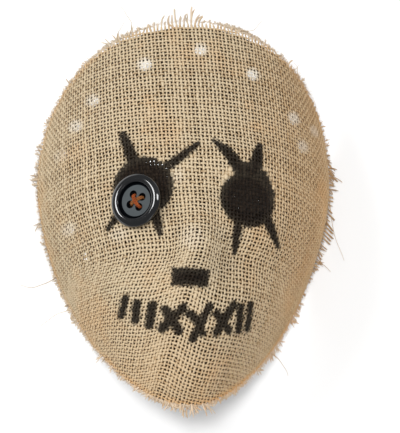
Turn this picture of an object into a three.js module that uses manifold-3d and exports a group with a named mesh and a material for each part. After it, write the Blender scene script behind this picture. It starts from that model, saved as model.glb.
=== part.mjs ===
// A burlap scarecrow face mask: coarse sacking bonded over a dark moulded face shell, with a coat button for
// one eye and an elastic band behind. Millimetres. The mask lies on its side edges with the face up, +Y points
// to the forehead and +X to the viewer's right. The origin is on the surface that it lies on, at mid length.

import * as THREE from "three";
import { mergeVertices } from "three/addons/utils/BufferGeometryUtils.js";
import Module from "manifold-3d";

// Overall size
const LENGTH = 248;
const WIDTH = 197.7;
const CROWN_HEIGHT = 101;
const END_HEIGHT = 60;
const SECTION_BASE = -12;

// How the half width falls off above and below the widest place
const WIDEST_Y = 25.6;
const FOREHEAD = { share: 0.26, power: 1.914 };
const JAW = { share: 0.589, power: 1.648 };

// How the middle line falls off towards the forehead and the chin
const FOREHEAD_FALL = 1.35;
const CHIN_FALL = 2.6;

// The edge is lowest at the sides, where it has a short flat length to lie on
const REST_Y = 4;
const REST_LENGTH = 36;

// Skins, from the outside in
const CLOTH = 1.2;
const CLEARANCE = 0.5;
const SHELL = 1.6;

// Nose
const NOSE = { y: -30.4, rise: 15.5, above: 21.7, abovePower: 1.59, below: 16.5, belowPower: 1.89 };
const NOSE_HALF_WIDTH = { tip: 14.5, bridge: 10.5, over: 35, power: 2.2 };

// Soft hollows and swellings of the face: middle, half sizes and rise; the paired ones are on both sides
const RELIEF = [
  { name: "eye socket", x: 34, y: 7, wide: 21, high: 15, rise: -4.5, paired: true },
  { name: "brow", x: 30, y: 31, wide: 26, high: 9, rise: 1.8, paired: true },
  { name: "cheek", x: 47, y: -24, wide: 22, high: 18, rise: 3, paired: true },
  { name: "fold beside the nose", x: 23, y: -46, wide: 11, high: 14, rise: -1.8, paired: true },
  { name: "mouth", x: 0, y: -80, wide: 30, high: 15, rise: 2.6, paired: false },
  { name: "chin", x: 0, y: -110, wide: 22, high: 13, rise: 4, paired: false },
];

// Openings in the shell
const EYE = { x: 32, y: 10, halfWidth: 16, halfHeight: 15, steps: 20 };
const VENT_DIAMETER = 8;
const VENT_STEPS = 10;
const PUNCH_DEPTH = 24;
const VENTS = [
  [-33.9, 91.3], [-65.5, 68.6], [-75.5, 52.1], [-84, 34], [-76.9, -14.8],
  [1.5, 102.7], [35.6, 88.8], [64.2, 63.4], [81, 60], [70.5, 45.2], [-67.5, -34.6],
];

// Button
const BUTTON = { x: -34.8, y: -2.7, radius: 16.8, thickness: 5.2, leanOut: 9, leanDown: 12, clear: 0.4, steps: 36 };
const BUTTON_HOLE = { radius: 1.9, pitch: 6.5, turn: -0.3, steps: 12 };
const BUTTON_FACE = 2.7;
const THREAD = { radius: 1.2, foot: 0.3, shoulder: 0.5, bow: 1.3 };

// Elastic band
const BAND = { width: 10, thickness: 1.4, corner: 0.4 };
const BAND_TAB = { high: 24, gap: 0.5, turn: 6, turnSteps: 4, y: 1 };
const BAND_ROUTE = [
  [74, -0.6], [64, -4.5], [53, -11.8], [41, -20.8], [28, -28.6], [14, -33.4], [0, -35],
];

// Mesh fineness: rows and columns of the skins, closer together around the nose
const ACROSS = 22;
const DOWN = 30;
const ROW_CROWD = { crowd: 1.6, spread: 0.09 };
const COLUMN_CROWD = { crowd: 1.2, spread: 0.1 };
const BAND_STEPS = 56;
const MERGE = 1e-3;

const HALF_LENGTH = LENGTH / 2;
const HALF_WIDTH = WIDTH / 2;

const wasm = await Module();
wasm.setup();

const clamp01 = (t) => Math.min(1, Math.max(0, t));

// A closed geometry as a solid that can be cut and joined
function solidOf(geometry) {
  const bare = geometry.clone();
  bare.deleteAttribute("normal");
  bare.deleteAttribute("uv");
  const merged = mergeVertices(bare, MERGE);
  return new wasm.Manifold(new wasm.Mesh({
    numProp: 3,
    vertProperties: new Float32Array(merged.attributes.position.array),
    triVerts: new Uint32Array(merged.index.array),
  }));
}

function geometryOf(solid) {
  const mesh = solid.getMesh();
  const geometry = new THREE.BufferGeometry();
  geometry.setAttribute("position", new THREE.BufferAttribute(new Float32Array(mesh.vertProperties), 3));
  geometry.setIndex(new THREE.BufferAttribute(new Uint32Array(mesh.triVerts), 1));
  const flat = geometry.toNonIndexed();
  flat.computeVertexNormals();
  return flat;
}

// Half width of the face at a station y, at the level of the section's base
function halfWidth(y) {
  const up = clamp01((y - WIDEST_Y) / (HALF_LENGTH - WIDEST_Y));
  const down = clamp01((WIDEST_Y - y) / (HALF_LENGTH + WIDEST_Y));
  const forehead = 1 - FOREHEAD.share * up ** FOREHEAD.power;
  const jaw = 1 - JAW.share * down ** JAW.power;
  return HALF_WIDTH * forehead * jaw;
}

// Height of the middle line, without nose and relief
function middleHeight(y) {
  const t = clamp01(Math.abs(y) / HALF_LENGTH);
  return CROWN_HEIGHT - (CROWN_HEIGHT - END_HEIGHT) * t ** (y > 0 ? FOREHEAD_FALL : CHIN_FALL);
}

// Height of the cut edge, the same on both sides
function edgeHeight(y) {
  const beyond = Math.max(0, Math.abs(y - REST_Y) - REST_LENGTH / 2);
  const reach = HALF_LENGTH - REST_LENGTH / 2 + (y > REST_Y ? -REST_Y : REST_Y);
  return END_HEIGHT * (beyond / reach) ** 2;
}

function noseRise(x, y) {
  const along = y - NOSE.y;
  const fall = along > 0
    ? (along / NOSE.above) ** NOSE.abovePower
    : (-along / NOSE.below) ** NOSE.belowPower;
  const narrowing = clamp01(along / NOSE_HALF_WIDTH.over);
  const half = NOSE_HALF_WIDTH.tip + (NOSE_HALF_WIDTH.bridge - NOSE_HALF_WIDTH.tip) * narrowing;
  return NOSE.rise * Math.exp(-fall - (Math.abs(x) / half) ** NOSE_HALF_WIDTH.power);
}

function relief(x, y) {
  let rise = noseRise(x, y);
  for (const spot of RELIEF) {
    for (const side of spot.paired ? [1, -1] : [1]) {
      const across = (x - side * spot.x) / spot.wide;
      const along = (y - spot.y) / spot.high;
      rise += spot.rise * Math.exp(-across * across - along * along);
    }
  }
  return rise;
}

// A point of the skin that lies inset millimetres inside the outer one, at an angle from the middle line
function skinPoint(y, angle, inset) {
  const x = (halfWidth(y) - inset) * Math.sin(angle);
  const rise = (middleHeight(y) - inset - SECTION_BASE) * Math.cos(angle);
  return new THREE.Vector3(x, y, SECTION_BASE + rise + relief(x, y));
}

// Height of a skin over a place (x, y)
function skinHeight(x, y, inset) {
  const angle = Math.asin(Math.max(-1, Math.min(1, x / (halfWidth(y) - inset))));
  return skinPoint(y, angle, inset).z;
}

// The last value, between low where the test holds and high where it doesn't, for which it holds
function lastWhere(test, low, high) {
  for (let i = 0; i < 40; i++) {
    const mid = (low + high) / 2;
    if (test(mid)) low = mid;
    else high = mid;
  }
  return low;
}

// Angle from the middle line at which a skin at a station comes down to a height
function angleAtHeight(y, height, inset) {
  return lastWhere((angle) => skinPoint(y, angle, inset).z > height, 0, Math.PI / 2);
}

// The station where the middle line of a skin meets the cut edge, towards the forehead (1) or the chin (-1)
function endStation(side, inset) {
  const inside = (far) => skinPoint(side * far, 0, inset).z > edgeHeight(side * far);
  return side * lastWhere(inside, HALF_LENGTH / 2, 1.2 * HALF_LENGTH);
}

// Values from 0 to 1 that stand closer together around a focus: crowd is how much closer, over a spread
function stations(count, { focus, crowd, spread }) {
  const fine = 400;
  const density = (t) => 1 + crowd * Math.exp(-(((t - focus) / spread) ** 2));
  const total = [0];
  for (let i = 1; i <= fine; i++) total.push(total[i - 1] + density((i - 0.5) / fine));
  const values = [];
  for (let k = 0, i = 0; k <= count; k++) {
    const wanted = (k / count) * total[fine];
    while (i < fine - 1 && total[i + 1] < wanted) i++;
    values.push((i + (wanted - total[i]) / (total[i + 1] - total[i])) / fine);
  }
  return values;
}

// A closed skin between two insets, as rows of points from the forehead's end to the chin's end
function skinGeometry(outer, inner) {
  const rows = stations(DOWN, { focus: Math.acos(NOSE.y / HALF_LENGTH) / Math.PI, ...ROW_CROWD });
  const columns = stations(ACROSS, { focus: 0.5, ...COLUMN_CROWD });
  const points = [];
  const index = [];
  const layer = (inset) => {
    const first = points.length / 3;
    const top = endStation(1, inset);
    const bottom = endStation(-1, inset);
    for (let i = 1; i < DOWN; i++) {
      const y = (top + bottom) / 2 + ((top - bottom) / 2) * Math.cos(Math.PI * rows[i]);
      const edge = angleAtHeight(y, edgeHeight(y), inset);
      for (const c of columns) points.push(...skinPoint(y, edge * (2 * c - 1), inset).toArray());
    }
    const pole = points.length / 3;
    points.push(...skinPoint(top, 0, inset).toArray(), ...skinPoint(bottom, 0, inset).toArray());
    return { at: (i, j) => first + (i - 1) * (ACROSS + 1) + j, top: pole, bottom: pole + 1 };
  };
  const face = (a, b, c, out) => index.push(a, out ? b : c, out ? c : b);
  const sheet = ({ at, top, bottom }, out) => {
    for (let j = 0; j < ACROSS; j++) {
      face(top, at(1, j), at(1, j + 1), out);
      face(bottom, at(DOWN - 1, j + 1), at(DOWN - 1, j), out);
      for (let i = 1; i < DOWN - 1; i++) {
        face(at(i, j), at(i + 1, j), at(i + 1, j + 1), out);
        face(at(i, j), at(i + 1, j + 1), at(i, j + 1), out);
      }
    }
  };
  const over = layer(outer);
  const under = layer(inner);
  sheet(over, true);
  sheet(under, false);
  const rim = ({ at, top, bottom }) => {
    const left = [];
    const right = [];
    for (let i = 1; i < DOWN; i++) {
      left.push(at(i, 0));
      right.push(at(i, ACROSS));
    }
    return [top, ...left, bottom, ...right.reverse()];
  };
  const a = rim(over);
  const b = rim(under);
  a.forEach((_, i) => {
    const next = (i + 1) % a.length;
    index.push(a[i], b[i], b[next], a[i], b[next], a[next]);
  });
  const geometry = new THREE.BufferGeometry();
  geometry.setAttribute("position", new THREE.Float32BufferAttribute(points, 3));
  geometry.setIndex(index);
  return geometry;
}

// The frame of the outer skin at a place: its point and its outward normal, averaged over a radius
function seatAt(x, y, radius) {
  const across = (skinHeight(x + radius, y, 0) - skinHeight(x - radius, y, 0)) / (2 * radius);
  const along = (skinHeight(x, y + radius, 0) - skinHeight(x, y - radius, 0)) / (2 * radius);
  const normal = new THREE.Vector3(-across, -along, 1).normalize();
  return { point: new THREE.Vector3(x, y, skinHeight(x, y, 0)), normal };
}

// A straight punch through the skins, along the normal at a place
function punch(x, y, halfWide, halfHigh, steps) {
  const { point, normal } = seatAt(x, y, halfHigh);
  const tool = new THREE.CylinderGeometry(1, 1, PUNCH_DEPTH, steps);
  tool.rotateX(Math.PI / 2);
  tool.scale(halfWide, halfHigh, 1);
  const turn = new THREE.Quaternion().setFromUnitVectors(new THREE.Vector3(0, 0, 1), normal);
  tool.applyQuaternion(turn);
  tool.translate(...point.toArray());
  return solidOf(tool);
}

function shellGeometry() {
  const outer = CLOTH + CLEARANCE;
  let shell = solidOf(skinGeometry(outer, outer + SHELL));
  for (const side of [1, -1]) {
    shell = shell.subtract(punch(side * EYE.x, EYE.y, EYE.halfWidth, EYE.halfHeight, EYE.steps));
  }
  for (const [x, y] of VENTS) {
    shell = shell.subtract(punch(x, y, VENT_DIAMETER / 2, VENT_DIAMETER / 2, VENT_STEPS));
  }
  return geometryOf(shell);
}

function coverGeometry() {
  return geometryOf(solidOf(skinGeometry(0, CLOTH)));
}

// Places the four holes around the button's middle
function holePlaces() {
  const half = BUTTON_HOLE.pitch / 2;
  return [[half, half], [-half, half], [-half, -half], [half, -half]].map(([x, y]) => {
    const c = Math.cos(BUTTON_HOLE.turn);
    const s = Math.sin(BUTTON_HOLE.turn);
    return [x * c - y * s, x * s + y * c];
  });
}

// Turned profile: flat face in a well, rolled rim, rounded side. Z up, on z = 0
function buttonGeometry() {
  const r = BUTTON.radius;
  const h = BUTTON.thickness;
  const profile = [
    [0, 0], [r - 3.4, 0], [r - 1.2, 0.9], [r - 0.15, 2.2], [r, 3.2], [r - 0.9, h - 0.6], [r - 2.6, h],
    [r - 4, h - 0.8], [r - 4.9, h - 2.2], [r - 5.6, BUTTON_FACE - 0.6], [r - 6.5, BUTTON_FACE - 0.6],
    [r - 6.9, BUTTON_FACE], [0, BUTTON_FACE],
  ].map(([x, y]) => new THREE.Vector2(x, y));
  const turned = new THREE.LatheGeometry(profile, BUTTON.steps);
  turned.rotateX(Math.PI / 2);
  let button = solidOf(turned);
  for (const [x, y] of holePlaces()) {
    const { radius, steps } = BUTTON_HOLE;
    const drill = new THREE.CylinderGeometry(radius, radius, 3 * BUTTON.thickness, steps);
    drill.rotateX(Math.PI / 2);
    drill.translate(x, y, 0);
    button = button.subtract(solidOf(drill));
  }
  return geometryOf(button);
}

// Two crossing stitches over the button's face, with their legs down in the holes
function threadGeometry() {
  const places = holePlaces();
  const section = new THREE.Shape();
  section.absarc(0, 0, THREAD.radius, 0, 2 * Math.PI, false);
  const over = BUTTON_FACE + THREAD.radius + THREAD.shoulder;
  const stitch = (start, end) => {
    const at = ([x, y], share, z) => new THREE.Vector3(x * share, y * share, z);
    const path = new THREE.CatmullRomCurve3([
      at(start, 1, THREAD.foot),
      at(start, 1, BUTTON_FACE - THREAD.shoulder),
      at(start, 0.8, over),
      at(start, 0, BUTTON_FACE + THREAD.radius + THREAD.bow),
      at(end, 0.8, over),
      at(end, 1, BUTTON_FACE - THREAD.shoulder),
      at(end, 1, THREAD.foot),
    ]);
    const options = { steps: 16, extrudePath: path, curveSegments: 4, bevelEnabled: false };
    return solidOf(new THREE.ExtrudeGeometry(section, options));
  };
  return geometryOf(stitch(places[0], places[2]).add(stitch(places[1], places[3])));
}

// The button's seat: leaned out and down from the cloth's own slope, and clear of the cloth all over
function buttonSeat() {
  const { point, normal } = seatAt(BUTTON.x, BUTTON.y, BUTTON.radius * 0.8);
  normal.applyAxisAngle(new THREE.Vector3(0, 1, 0), -THREE.MathUtils.degToRad(BUTTON.leanOut));
  normal.applyAxisAngle(new THREE.Vector3(1, 0, 0), THREE.MathUtils.degToRad(BUTTON.leanDown));
  const turn = new THREE.Quaternion().setFromUnitVectors(new THREE.Vector3(0, 0, 1), normal);
  const rings = 8;
  let lift = -Infinity;
  for (let ring = 0; ring <= rings; ring++) {
    for (let step = 0; step < BUTTON.steps; step++) {
      const angle = (step / BUTTON.steps) * 2 * Math.PI;
      const spot = new THREE.Vector3(Math.cos(angle), Math.sin(angle), 0);
      spot.multiplyScalar((ring / rings) * (BUTTON.radius - 2));
      spot.applyQuaternion(turn).add(point);
      lift = Math.max(lift, (skinHeight(spot.x, spot.y, 0) - spot.z) * normal.z);
    }
  }
  return { place: point.addScaledVector(normal, lift + BUTTON.clear), turn };
}

// The band's middle line: up the inside of one edge, over the surface in a slack bow, up the other edge
function bandRoute() {
  const inset = CLOTH + CLEARANCE + SHELL + BAND_TAB.gap + BAND.thickness / 2;
  const narrowSide = BAND_TAB.y - BAND.width / 2;
  const wall = (z) => skinPoint(narrowSide, angleAtHeight(narrowSide, z, inset), inset).x;
  const floor = BAND.thickness / 2 + BAND_TAB.gap;
  const turnTop = floor + BAND_TAB.turn;
  const turnX = wall(turnTop) - BAND_TAB.turn;
  const half = [];
  for (const z of [BAND_TAB.high, (BAND_TAB.high + turnTop) / 2]) {
    half.push(new THREE.Vector3(wall(z), BAND_TAB.y, z));
  }
  for (let i = 0; i <= BAND_TAB.turnSteps; i++) {
    const angle = (i / BAND_TAB.turnSteps) * (Math.PI / 2);
    const x = turnX + BAND_TAB.turn * Math.cos(angle);
    half.push(new THREE.Vector3(x, BAND_TAB.y, turnTop - BAND_TAB.turn * Math.sin(angle)));
  }
  for (const [x, y] of BAND_ROUTE) half.push(new THREE.Vector3(x, y, floor));
  const mirrored = half.slice(0, -1).map((p) => new THREE.Vector3(-p.x, p.y, p.z));
  return [...mirrored, ...half.reverse()];
}

function bandGeometry() {
  const w = BAND.width / 2;
  const t = BAND.thickness / 2;
  const c = BAND.corner;
  const section = new THREE.Shape([
    [w, t - c], [w - c, t], [c - w, t], [-w, t - c], [-w, c - t], [c - w, -t], [w - c, -t], [w, c - t],
  ].map(([x, y]) => new THREE.Vector2(x, y)));
  const options = {
    steps: BAND_STEPS,
    extrudePath: new THREE.CatmullRomCurve3(bandRoute()),
    bevelEnabled: false,
  };
  return geometryOf(solidOf(new THREE.ExtrudeGeometry(section, options)));
}

const burlap = new THREE.MeshStandardMaterial({ color: 0xc2a67e, roughness: 0.95, metalness: 0 });
const darkPlastic = new THREE.MeshStandardMaterial({ color: 0x1c1a18, roughness: 0.6, metalness: 0 });
const glossyButton = new THREE.MeshStandardMaterial({ color: 0x11161c, roughness: 0.18, metalness: 0 });
const rustThread = new THREE.MeshStandardMaterial({ color: 0xa8481c, roughness: 0.8, metalness: 0 });
const blackElastic = new THREE.MeshStandardMaterial({ color: 0x121212, roughness: 0.85, metalness: 0 });

function named(name, geometry, material) {
  const mesh = new THREE.Mesh(geometry, material);
  mesh.name = name;
  return mesh;
}

const mask = new THREE.Group();
mask.add(named("shell", shellGeometry(), darkPlastic));
mask.add(named("burlap_cover", coverGeometry(), burlap));

const eye = new THREE.Group();
const { place, turn } = buttonSeat();
eye.position.copy(place);
eye.quaternion.copy(turn);
eye.add(named("button", buttonGeometry(), glossyButton));
eye.add(named("button_thread", threadGeometry(), rustThread));
mask.add(eye);

mask.add(named("strap", bandGeometry(), blackElastic));

export default mask;
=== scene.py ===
"""A burlap scarecrow face mask, finished around its packed frame: woven jute yarns over a moulded shell,
a sewn coat button for one eye and an elastic band behind. Lengths are metres. The mask lies face up, +Y
points to the forehead and +X to the viewer's right."""

import functools
import math

import bpy
import numpy as np
from mathutils import Matrix, Quaternion, Vector


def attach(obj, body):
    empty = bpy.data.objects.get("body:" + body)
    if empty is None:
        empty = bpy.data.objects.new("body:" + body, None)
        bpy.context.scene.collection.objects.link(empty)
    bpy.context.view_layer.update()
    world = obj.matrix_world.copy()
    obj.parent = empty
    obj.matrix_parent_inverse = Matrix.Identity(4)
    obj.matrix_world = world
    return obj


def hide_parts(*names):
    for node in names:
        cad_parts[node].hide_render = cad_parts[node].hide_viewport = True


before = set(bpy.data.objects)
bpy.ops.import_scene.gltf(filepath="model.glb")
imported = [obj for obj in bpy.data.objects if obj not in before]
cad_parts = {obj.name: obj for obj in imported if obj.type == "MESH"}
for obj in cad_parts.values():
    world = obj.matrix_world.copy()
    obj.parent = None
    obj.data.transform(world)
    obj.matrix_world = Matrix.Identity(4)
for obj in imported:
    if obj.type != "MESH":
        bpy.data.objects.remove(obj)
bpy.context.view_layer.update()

bl_info = {
    "name": "Burlap scarecrow face mask",
    "version": (1, 0, 0),
    "blender": (4, 5, 0),
    "location": "3D View > Sidebar > Mask",
    "description": "Builds a stitched burlap face mask with a button eye and an elastic band",
    "category": "Add Mesh",
}

MM = 0.001
BODY = "root"

# The face form, as the frame has it
LENGTH = 248 * MM
WIDTH = 197.7 * MM
CROWN_HEIGHT = 101 * MM
END_HEIGHT = 60 * MM
SECTION_BASE = -12 * MM
HALF_LENGTH = LENGTH / 2
HALF_WIDTH = WIDTH / 2
WIDEST_Y = 25.6 * MM
FOREHEAD_SHARE, FOREHEAD_POWER = 0.26, 1.914
JAW_SHARE, JAW_POWER = 0.589, 1.648
FOREHEAD_FALL, CHIN_FALL = 1.35, 2.6
REST_Y = 4 * MM
REST_LENGTH = 36 * MM
CLOTH = 1.2 * MM
CLEARANCE = 0.5 * MM
SHELL = 1.6 * MM
SHELL_SHORT, SHELL_SHORT_FROM, SHELL_SHORT_OVER = 5.2 * MM, 104 * MM, 12 * MM
NOSE_Y = -30.4 * MM
NOSE_RISE = 15.5 * MM
NOSE_ABOVE, NOSE_ABOVE_POWER = 21.7 * MM, 1.59
NOSE_BELOW, NOSE_BELOW_POWER = 16.5 * MM, 1.89
NOSE_TIP_HALF, NOSE_BRIDGE_HALF = 14.5 * MM, 10.5 * MM
NOSE_NARROWS_OVER, NOSE_ACROSS_POWER = 35 * MM, 2.2

# Soft hollows and swellings in millimetres: middle, half sizes, rise, and whether both sides have it
RELIEF = [
    ("eye socket", 34, 7, 21, 15, -4.5, True),
    ("brow", 30, 31, 26, 9, 1.8, True),
    ("cheek", 47, -24, 22, 18, 3, True),
    ("fold beside the nose", 23, -46, 11, 14, -1.8, True),
    ("mouth", 0, -80, 30, 15, 2.6, False),
    ("chin", 0, -110, 22, 13, 4, False),
]

# Openings of the shell; each vent has its place in millimetres, and how much painted light brightens the
# cloth over it
EYE_X, EYE_Y = 32 * MM, 10 * MM
EYE_HALF_WIDTH, EYE_HALF_HEIGHT = 16 * MM, 15 * MM
VENT_RADIUS = 4 * MM
CUTTER_DEPTH, RIM_LAYERS = 24 * MM, 5
VENTS = [
    (-33.9, 91.3, 1.0), (-65.5, 68.6, 0.6), (-75.5, 52.1, 0.65), (-84, 34, 0.2), (-76.9, -14.8, 0.4),
    (1.5, 102.7, 0.8), (35.6, 88.8, 1.0), (64.2, 63.4, 0.75), (81, 60, 0.4), (70.5, 45.2, 0.5),
    (-67.5, -34.6, 0.0),
]

# The button and its seat
BUTTON_X, BUTTON_Y = -34.8 * MM, -2.7 * MM
BUTTON_RADIUS = 16.8 * MM
BUTTON_THICKNESS = 5.2 * MM
BUTTON_FACE = 2.7 * MM
LEAN_OUT, LEAN_DOWN = math.radians(9), math.radians(12)
SEAT_CLEAR = 0.4 * MM
HOLE_RADIUS = 1.9 * MM
HOLE_PITCH = 6.5 * MM
HOLE_TURN = -0.3

# The elastic band, and its bow over the surface in millimetres
BAND_WIDTH, BAND_THICKNESS = 10 * MM, 1.4 * MM
BAND_TAB_HIGH, BAND_TAB_GAP, BAND_TAB_TURN, BAND_TAB_Y = 24 * MM, 0.5 * MM, 6 * MM, 1 * MM
BAND_TURN_STEPS = 4
BAND_ROUTE = [(74, -0.6), (64, -4.5), (53, -11.8), (41, -20.8), (28, -28.6), (14, -33.4), (0, -35)]

# How the cloth's threads run: the middle warp's slope, and how the middle weft sags to the sides
YARN_PLANE = 0.6 * MM
WARP_PROUD = 0.09 * MM
MIDDLE_X, MIDDLE_Y = 1 * MM, 8 * MM
LEAN_FOREHEAD, LEAN_CHIN = -0.070, 0.205
LEAN_FROM, LEAN_OVER = -2 * MM, 38 * MM
WEFT_SAG = 9 * MM
WARPS_EACH_SIDE, WEFTS_EACH_SIDE = 70, 64
PITCH_CHANGE_FROM, PITCH_CHANGE_OVER = 4, 26

# A yarn's points lie this share of a pitch from its crossings; thicker places of it, and its loose plies
QUARTER, SHORTEST_YARN = 0.27, 6
SLUB_EVERY, SLUB_LENGTH = 160 * MM, 3.5 * MM
PLY_ROOT, PLY_TAPER = 0.8 * MM, (0, 0, 0.05, 0.1, 0.2, 0.35, 0.65)
WIDEST_SPREAD = 0.45

# Painted strokes in millimetres: from x and y to x and y, and the width at each end
PAINT_STROKES = [
    ("left eye, upper outer ray", -46.8, 41.9, -40.4, 24.4, 4.2, 7.2),
    ("left eye, upper inner ray", -0.8, 35.5, -9.7, 27.7, 2.8, 4.6),
    ("left eye, upper inner ray, root", -9.7, 27.7, -19.8, 19.8, 4.6, 5.6),
    ("left eye, lower outer ray", -53.6, -18.7, -48.5, -11.0, 2.6, 4.2),
    ("left eye, lower inner ray", -22.7, -22.6, -25.9, -10.4, 3.4, 5.2),
    ("right eye, upper inner ray", 9.2, 38.6, 17.7, 31.0, 2.2, 6.6),
    ("right eye, upper inner ray, root", 17.7, 31.0, 26.4, 20.6, 6.6, 8.6),
    ("right eye, upper outer ray", 38.6, 38.0, 35.4, 22.2, 4.6, 9.4),
    ("right eye, between the upper rays", 30.0, 22.0, 33.5, 20.0, 9.0, 11.0),
    ("right eye, upper outer edge", 41.0, 19.0, 46.5, 8.0, 6.0, 5.0),
    ("right eye, lower inner ray", 23.1, -32.0, 24.9, -16.1, 2.8, 5.8),
    ("right eye, lower outer ray", 51.9, -24.0, 44.0, -8.7, 3.2, 6.8),
    ("mouth, first stitch", -41.0, -60.5, -42.7, -71.0, 4.0, 3.6),
    ("mouth, second stitch", -34.0, -64.1, -34.2, -73.7, 5.0, 4.6),
    ("mouth, third stitch", -25.0, -65.3, -25.8, -76.9, 5.2, 4.8),
    ("mouth, first cross down", -17.1, -68.0, -8.6, -80.1, 5.4, 5.2),
    ("mouth, first cross up", -6.4, -66.5, -18.0, -78.7, 4.8, 5.6),
    ("mouth, skewed cross, start", -2.9, -70.2, 3.1, -74.2, 4.6, 5.2),
    ("mouth, skewed cross, end", 3.1, -74.2, 5.9, -80.8, 5.4, 4.6),
    ("mouth, skewed cross, long arm", 9.4, -65.2, 0.2, -84.9, 4.6, 4.4),
    ("mouth, last cross down", 14.2, -69.1, 22.6, -78.1, 4.8, 4.6),
    ("mouth, last cross up", 24.9, -62.9, 14.7, -80.3, 4.8, 4.8),
    ("mouth, last but one stitch", 29.8, -63.2, 29.4, -77.5, 4.0, 4.4),
    ("mouth, last stitch", 36.1, -61.2, 35.2, -76.2, 3.8, 3.6),
]

# How far a ray's outer end has dried out, and over what length; how far the paint spreads past its strokes
DRY_TIP, DRY_TIP_LENGTH = 0.4 * MM, 6 * MM
EYE_BLEED, MOUTH_BLEED = 0.3 * MM, 0.1 * MM
UNPAINTED = -9.0

# The painted bar under the nose: middle, half width, half height and slope
PAINT_BAR = (-3.5, -48.7, 10.9, 5.0, -0.03)

# Painted discs: middle, half width and half height
PAINT_DISCS = [
    ("left eye", -33.4, 7.6, 18.0, 18.6),
    ("right eye", 31.2, 2.4, 17.9, 17.8),
]

# How far the paint swells the yarns in the discs, and over the openings behind, where it clogs the gaps
SWOLLEN, CLOGGED = 0.08, 0.96

# Gaps that the paint left open over the left eye opening: middle and reach
OPEN_GAPS = [(-30.5, 24.4, 3.2), (-27.5, 23.6, 3.4), (-24, 22.2, 3.6), (-21, 20.2, 3.4), (-18, 16.8, 3.4)]

# Paler and browner places of the cloth: middle, half width and half height
PALE_PLACES = [
    ("nose ridge", -4, -26, 8, 9), ("beside the eye", -13, 14, 4, 7), ("under the button", -47, -22, 7, 5),
]
TAN_PLACES = [
    ("forehead, left", -31.9, 66.5, 6, 6), ("brow, left", -33.5, 44.2, 5, 5),
    ("forehead, right", 32.8, 65.7, 6, 5), ("brow, right", 35.9, 52.1, 6, 5),
]

# Places on the rim where the crossing yarns have dropped out: middle, half width, half height and depth
DROPPED_WEFTS = [("top fringe", -12, 122, 36, 14, 6.4), ("top right", 34, 117, 18, 8, 3.6)]
DROPPED_WARPS = [("right side", 97, -6, 12, 26, 3.6), ("left side", -97, -19, 10, 8, 2.4)]

# Frayed places on the rim: middle, reach, how far the yarns' ends stand out there, how far they spread, and
# which way they lean across and along
FRAYS = [
    ("top fringe", -21, 124, 17, 4.6, 0.04, 0.28, 0),
    ("top tuft", -2, 124, 4, 6.0, 0.25, 0.1, 0),
    ("top right", 30, 118, 14, 2.0, 0.5, 0.3, 0),
    ("forehead, left", -46, 112, 10, 2.2, 0.6, -0.2, 0),
    ("right brow", 68, 92, 5, 4.2, 0.4, 0.1, 0.7),
    ("right temple", 94, 40, 12, 3.4, 0.3, 0.2, -0.6),
    ("right side", 97, 1, 22, 6.8, 0.03, 0.3, -0.8),
    ("right jaw", 80, -62, 12, 3.6, 0.4, 0.3, -0.5),
    ("left temple", -97, 45, 4, 4.0, 0.5, -0.2, 0),
    ("left brow", -95, 64, 8, 2.4, 0.5, -0.2, 0),
    ("left cheek, low", -78, -66, 7, 2.8, 0.5, -0.3, -0.5),
    ("left side", -98, 26, 3, 5.0, 0.4, -0.3, 0),
    ("left cheekbone", -95, -19, 6, 4.4, 0.5, -0.3, 0.3),
    ("left cheek", -88, -42, 5, 4.6, 0.4, -0.3, -0.5),
    ("left jaw", -72, -80, 8, 3.0, 0.5, -0.2, -0.4),
    ("chin", -3, -124, 24, 5.4, 0.35, 0, -0.3),
    ("jaw, right", 62, -84, 9, 5.0, 0.4, 0.3, -0.4),
]

# Places on the rim where loose yarns tangle: middle, half width and half height
TANGLES = [
    ("forehead, left", -50, 110, 18, 10), ("top tuft", 4, 122, 8, 6), ("top right", 30, 117, 16, 8),
    ("left cheek", -86, -46, 8, 12), ("left temple", -96, 42, 6, 6), ("chin", -8, -122, 16, 6),
    ("jaw, left", -62, -96, 10, 8), ("jaw, right", 64, -80, 10, 12), ("chin, right", 30, -114, 10, 8),
]

# Places without them
LOOPLESS = [("top fringe", -17, 122, 18, 10)]

# Single loose fibres: root x and y, tip x, y and rise, and sideways bow
STRAYS = [
    ("top, curled", -44, 112, -52, 131, 4, 5),
    ("top, short curl", -50, 108, -46, 122, 3, -3),
    ("top, over the tuft", 28, 120, 42, 127, 3, 3),
    ("right brow", 66, 93, 70, 103, 3, -2),
    ("right brow, beside it", 67, 92, 66, 104, 2, 2),
    ("right side, long", 96, 25, 107, -21, -1, 2.2),
    ("right side, lower", 96, -14, 101, -27, -1, 2),
    ("left side", -94, -40, -106, -46, -6, -3),
    ("left cheek", -84, -62, -92, -74, -4, 2),
    ("jaw, right", 62, -86, 70, -100, -5, -2),
]

# The shapes of the fine fibres: how far a tip bends across and along, and how high the bend is
FIBRE_BENDS = [(0.0, 0.25, 0.55), (0.35, -0.1, 0.6), (-0.2, -0.3, 0.45), (0.5, 0.35, 0.3)]

# Room beside each yarn's strip in the UV map, and how high loose fibres stay above the floor
STRIP_MARGIN = 0.04
FIBRE_GAP = 0.7 * MM


def smooth(t):
    """A smooth rise from 0 to 1 as t goes from 0 to 1."""
    t = np.clip(t, 0, 1)
    return t * t * (3 - 2 * t)


def unit(vectors):
    """Vectors of length 1, whose last axis is x, y, z."""
    return vectors / np.maximum(np.linalg.norm(vectors, axis=-1, keepdims=True), 1e-12)


def run_lengths(points):
    """Distance along a line at each of its points."""
    return np.concatenate([[0], np.cumsum(np.linalg.norm(np.diff(points, axis=0), axis=1))])


def sampled(wanted, along, points):
    """Points of a line at wanted distances along it."""
    return np.stack([np.interp(wanted, along, points[:, k]) for k in range(3)], -1)


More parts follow.
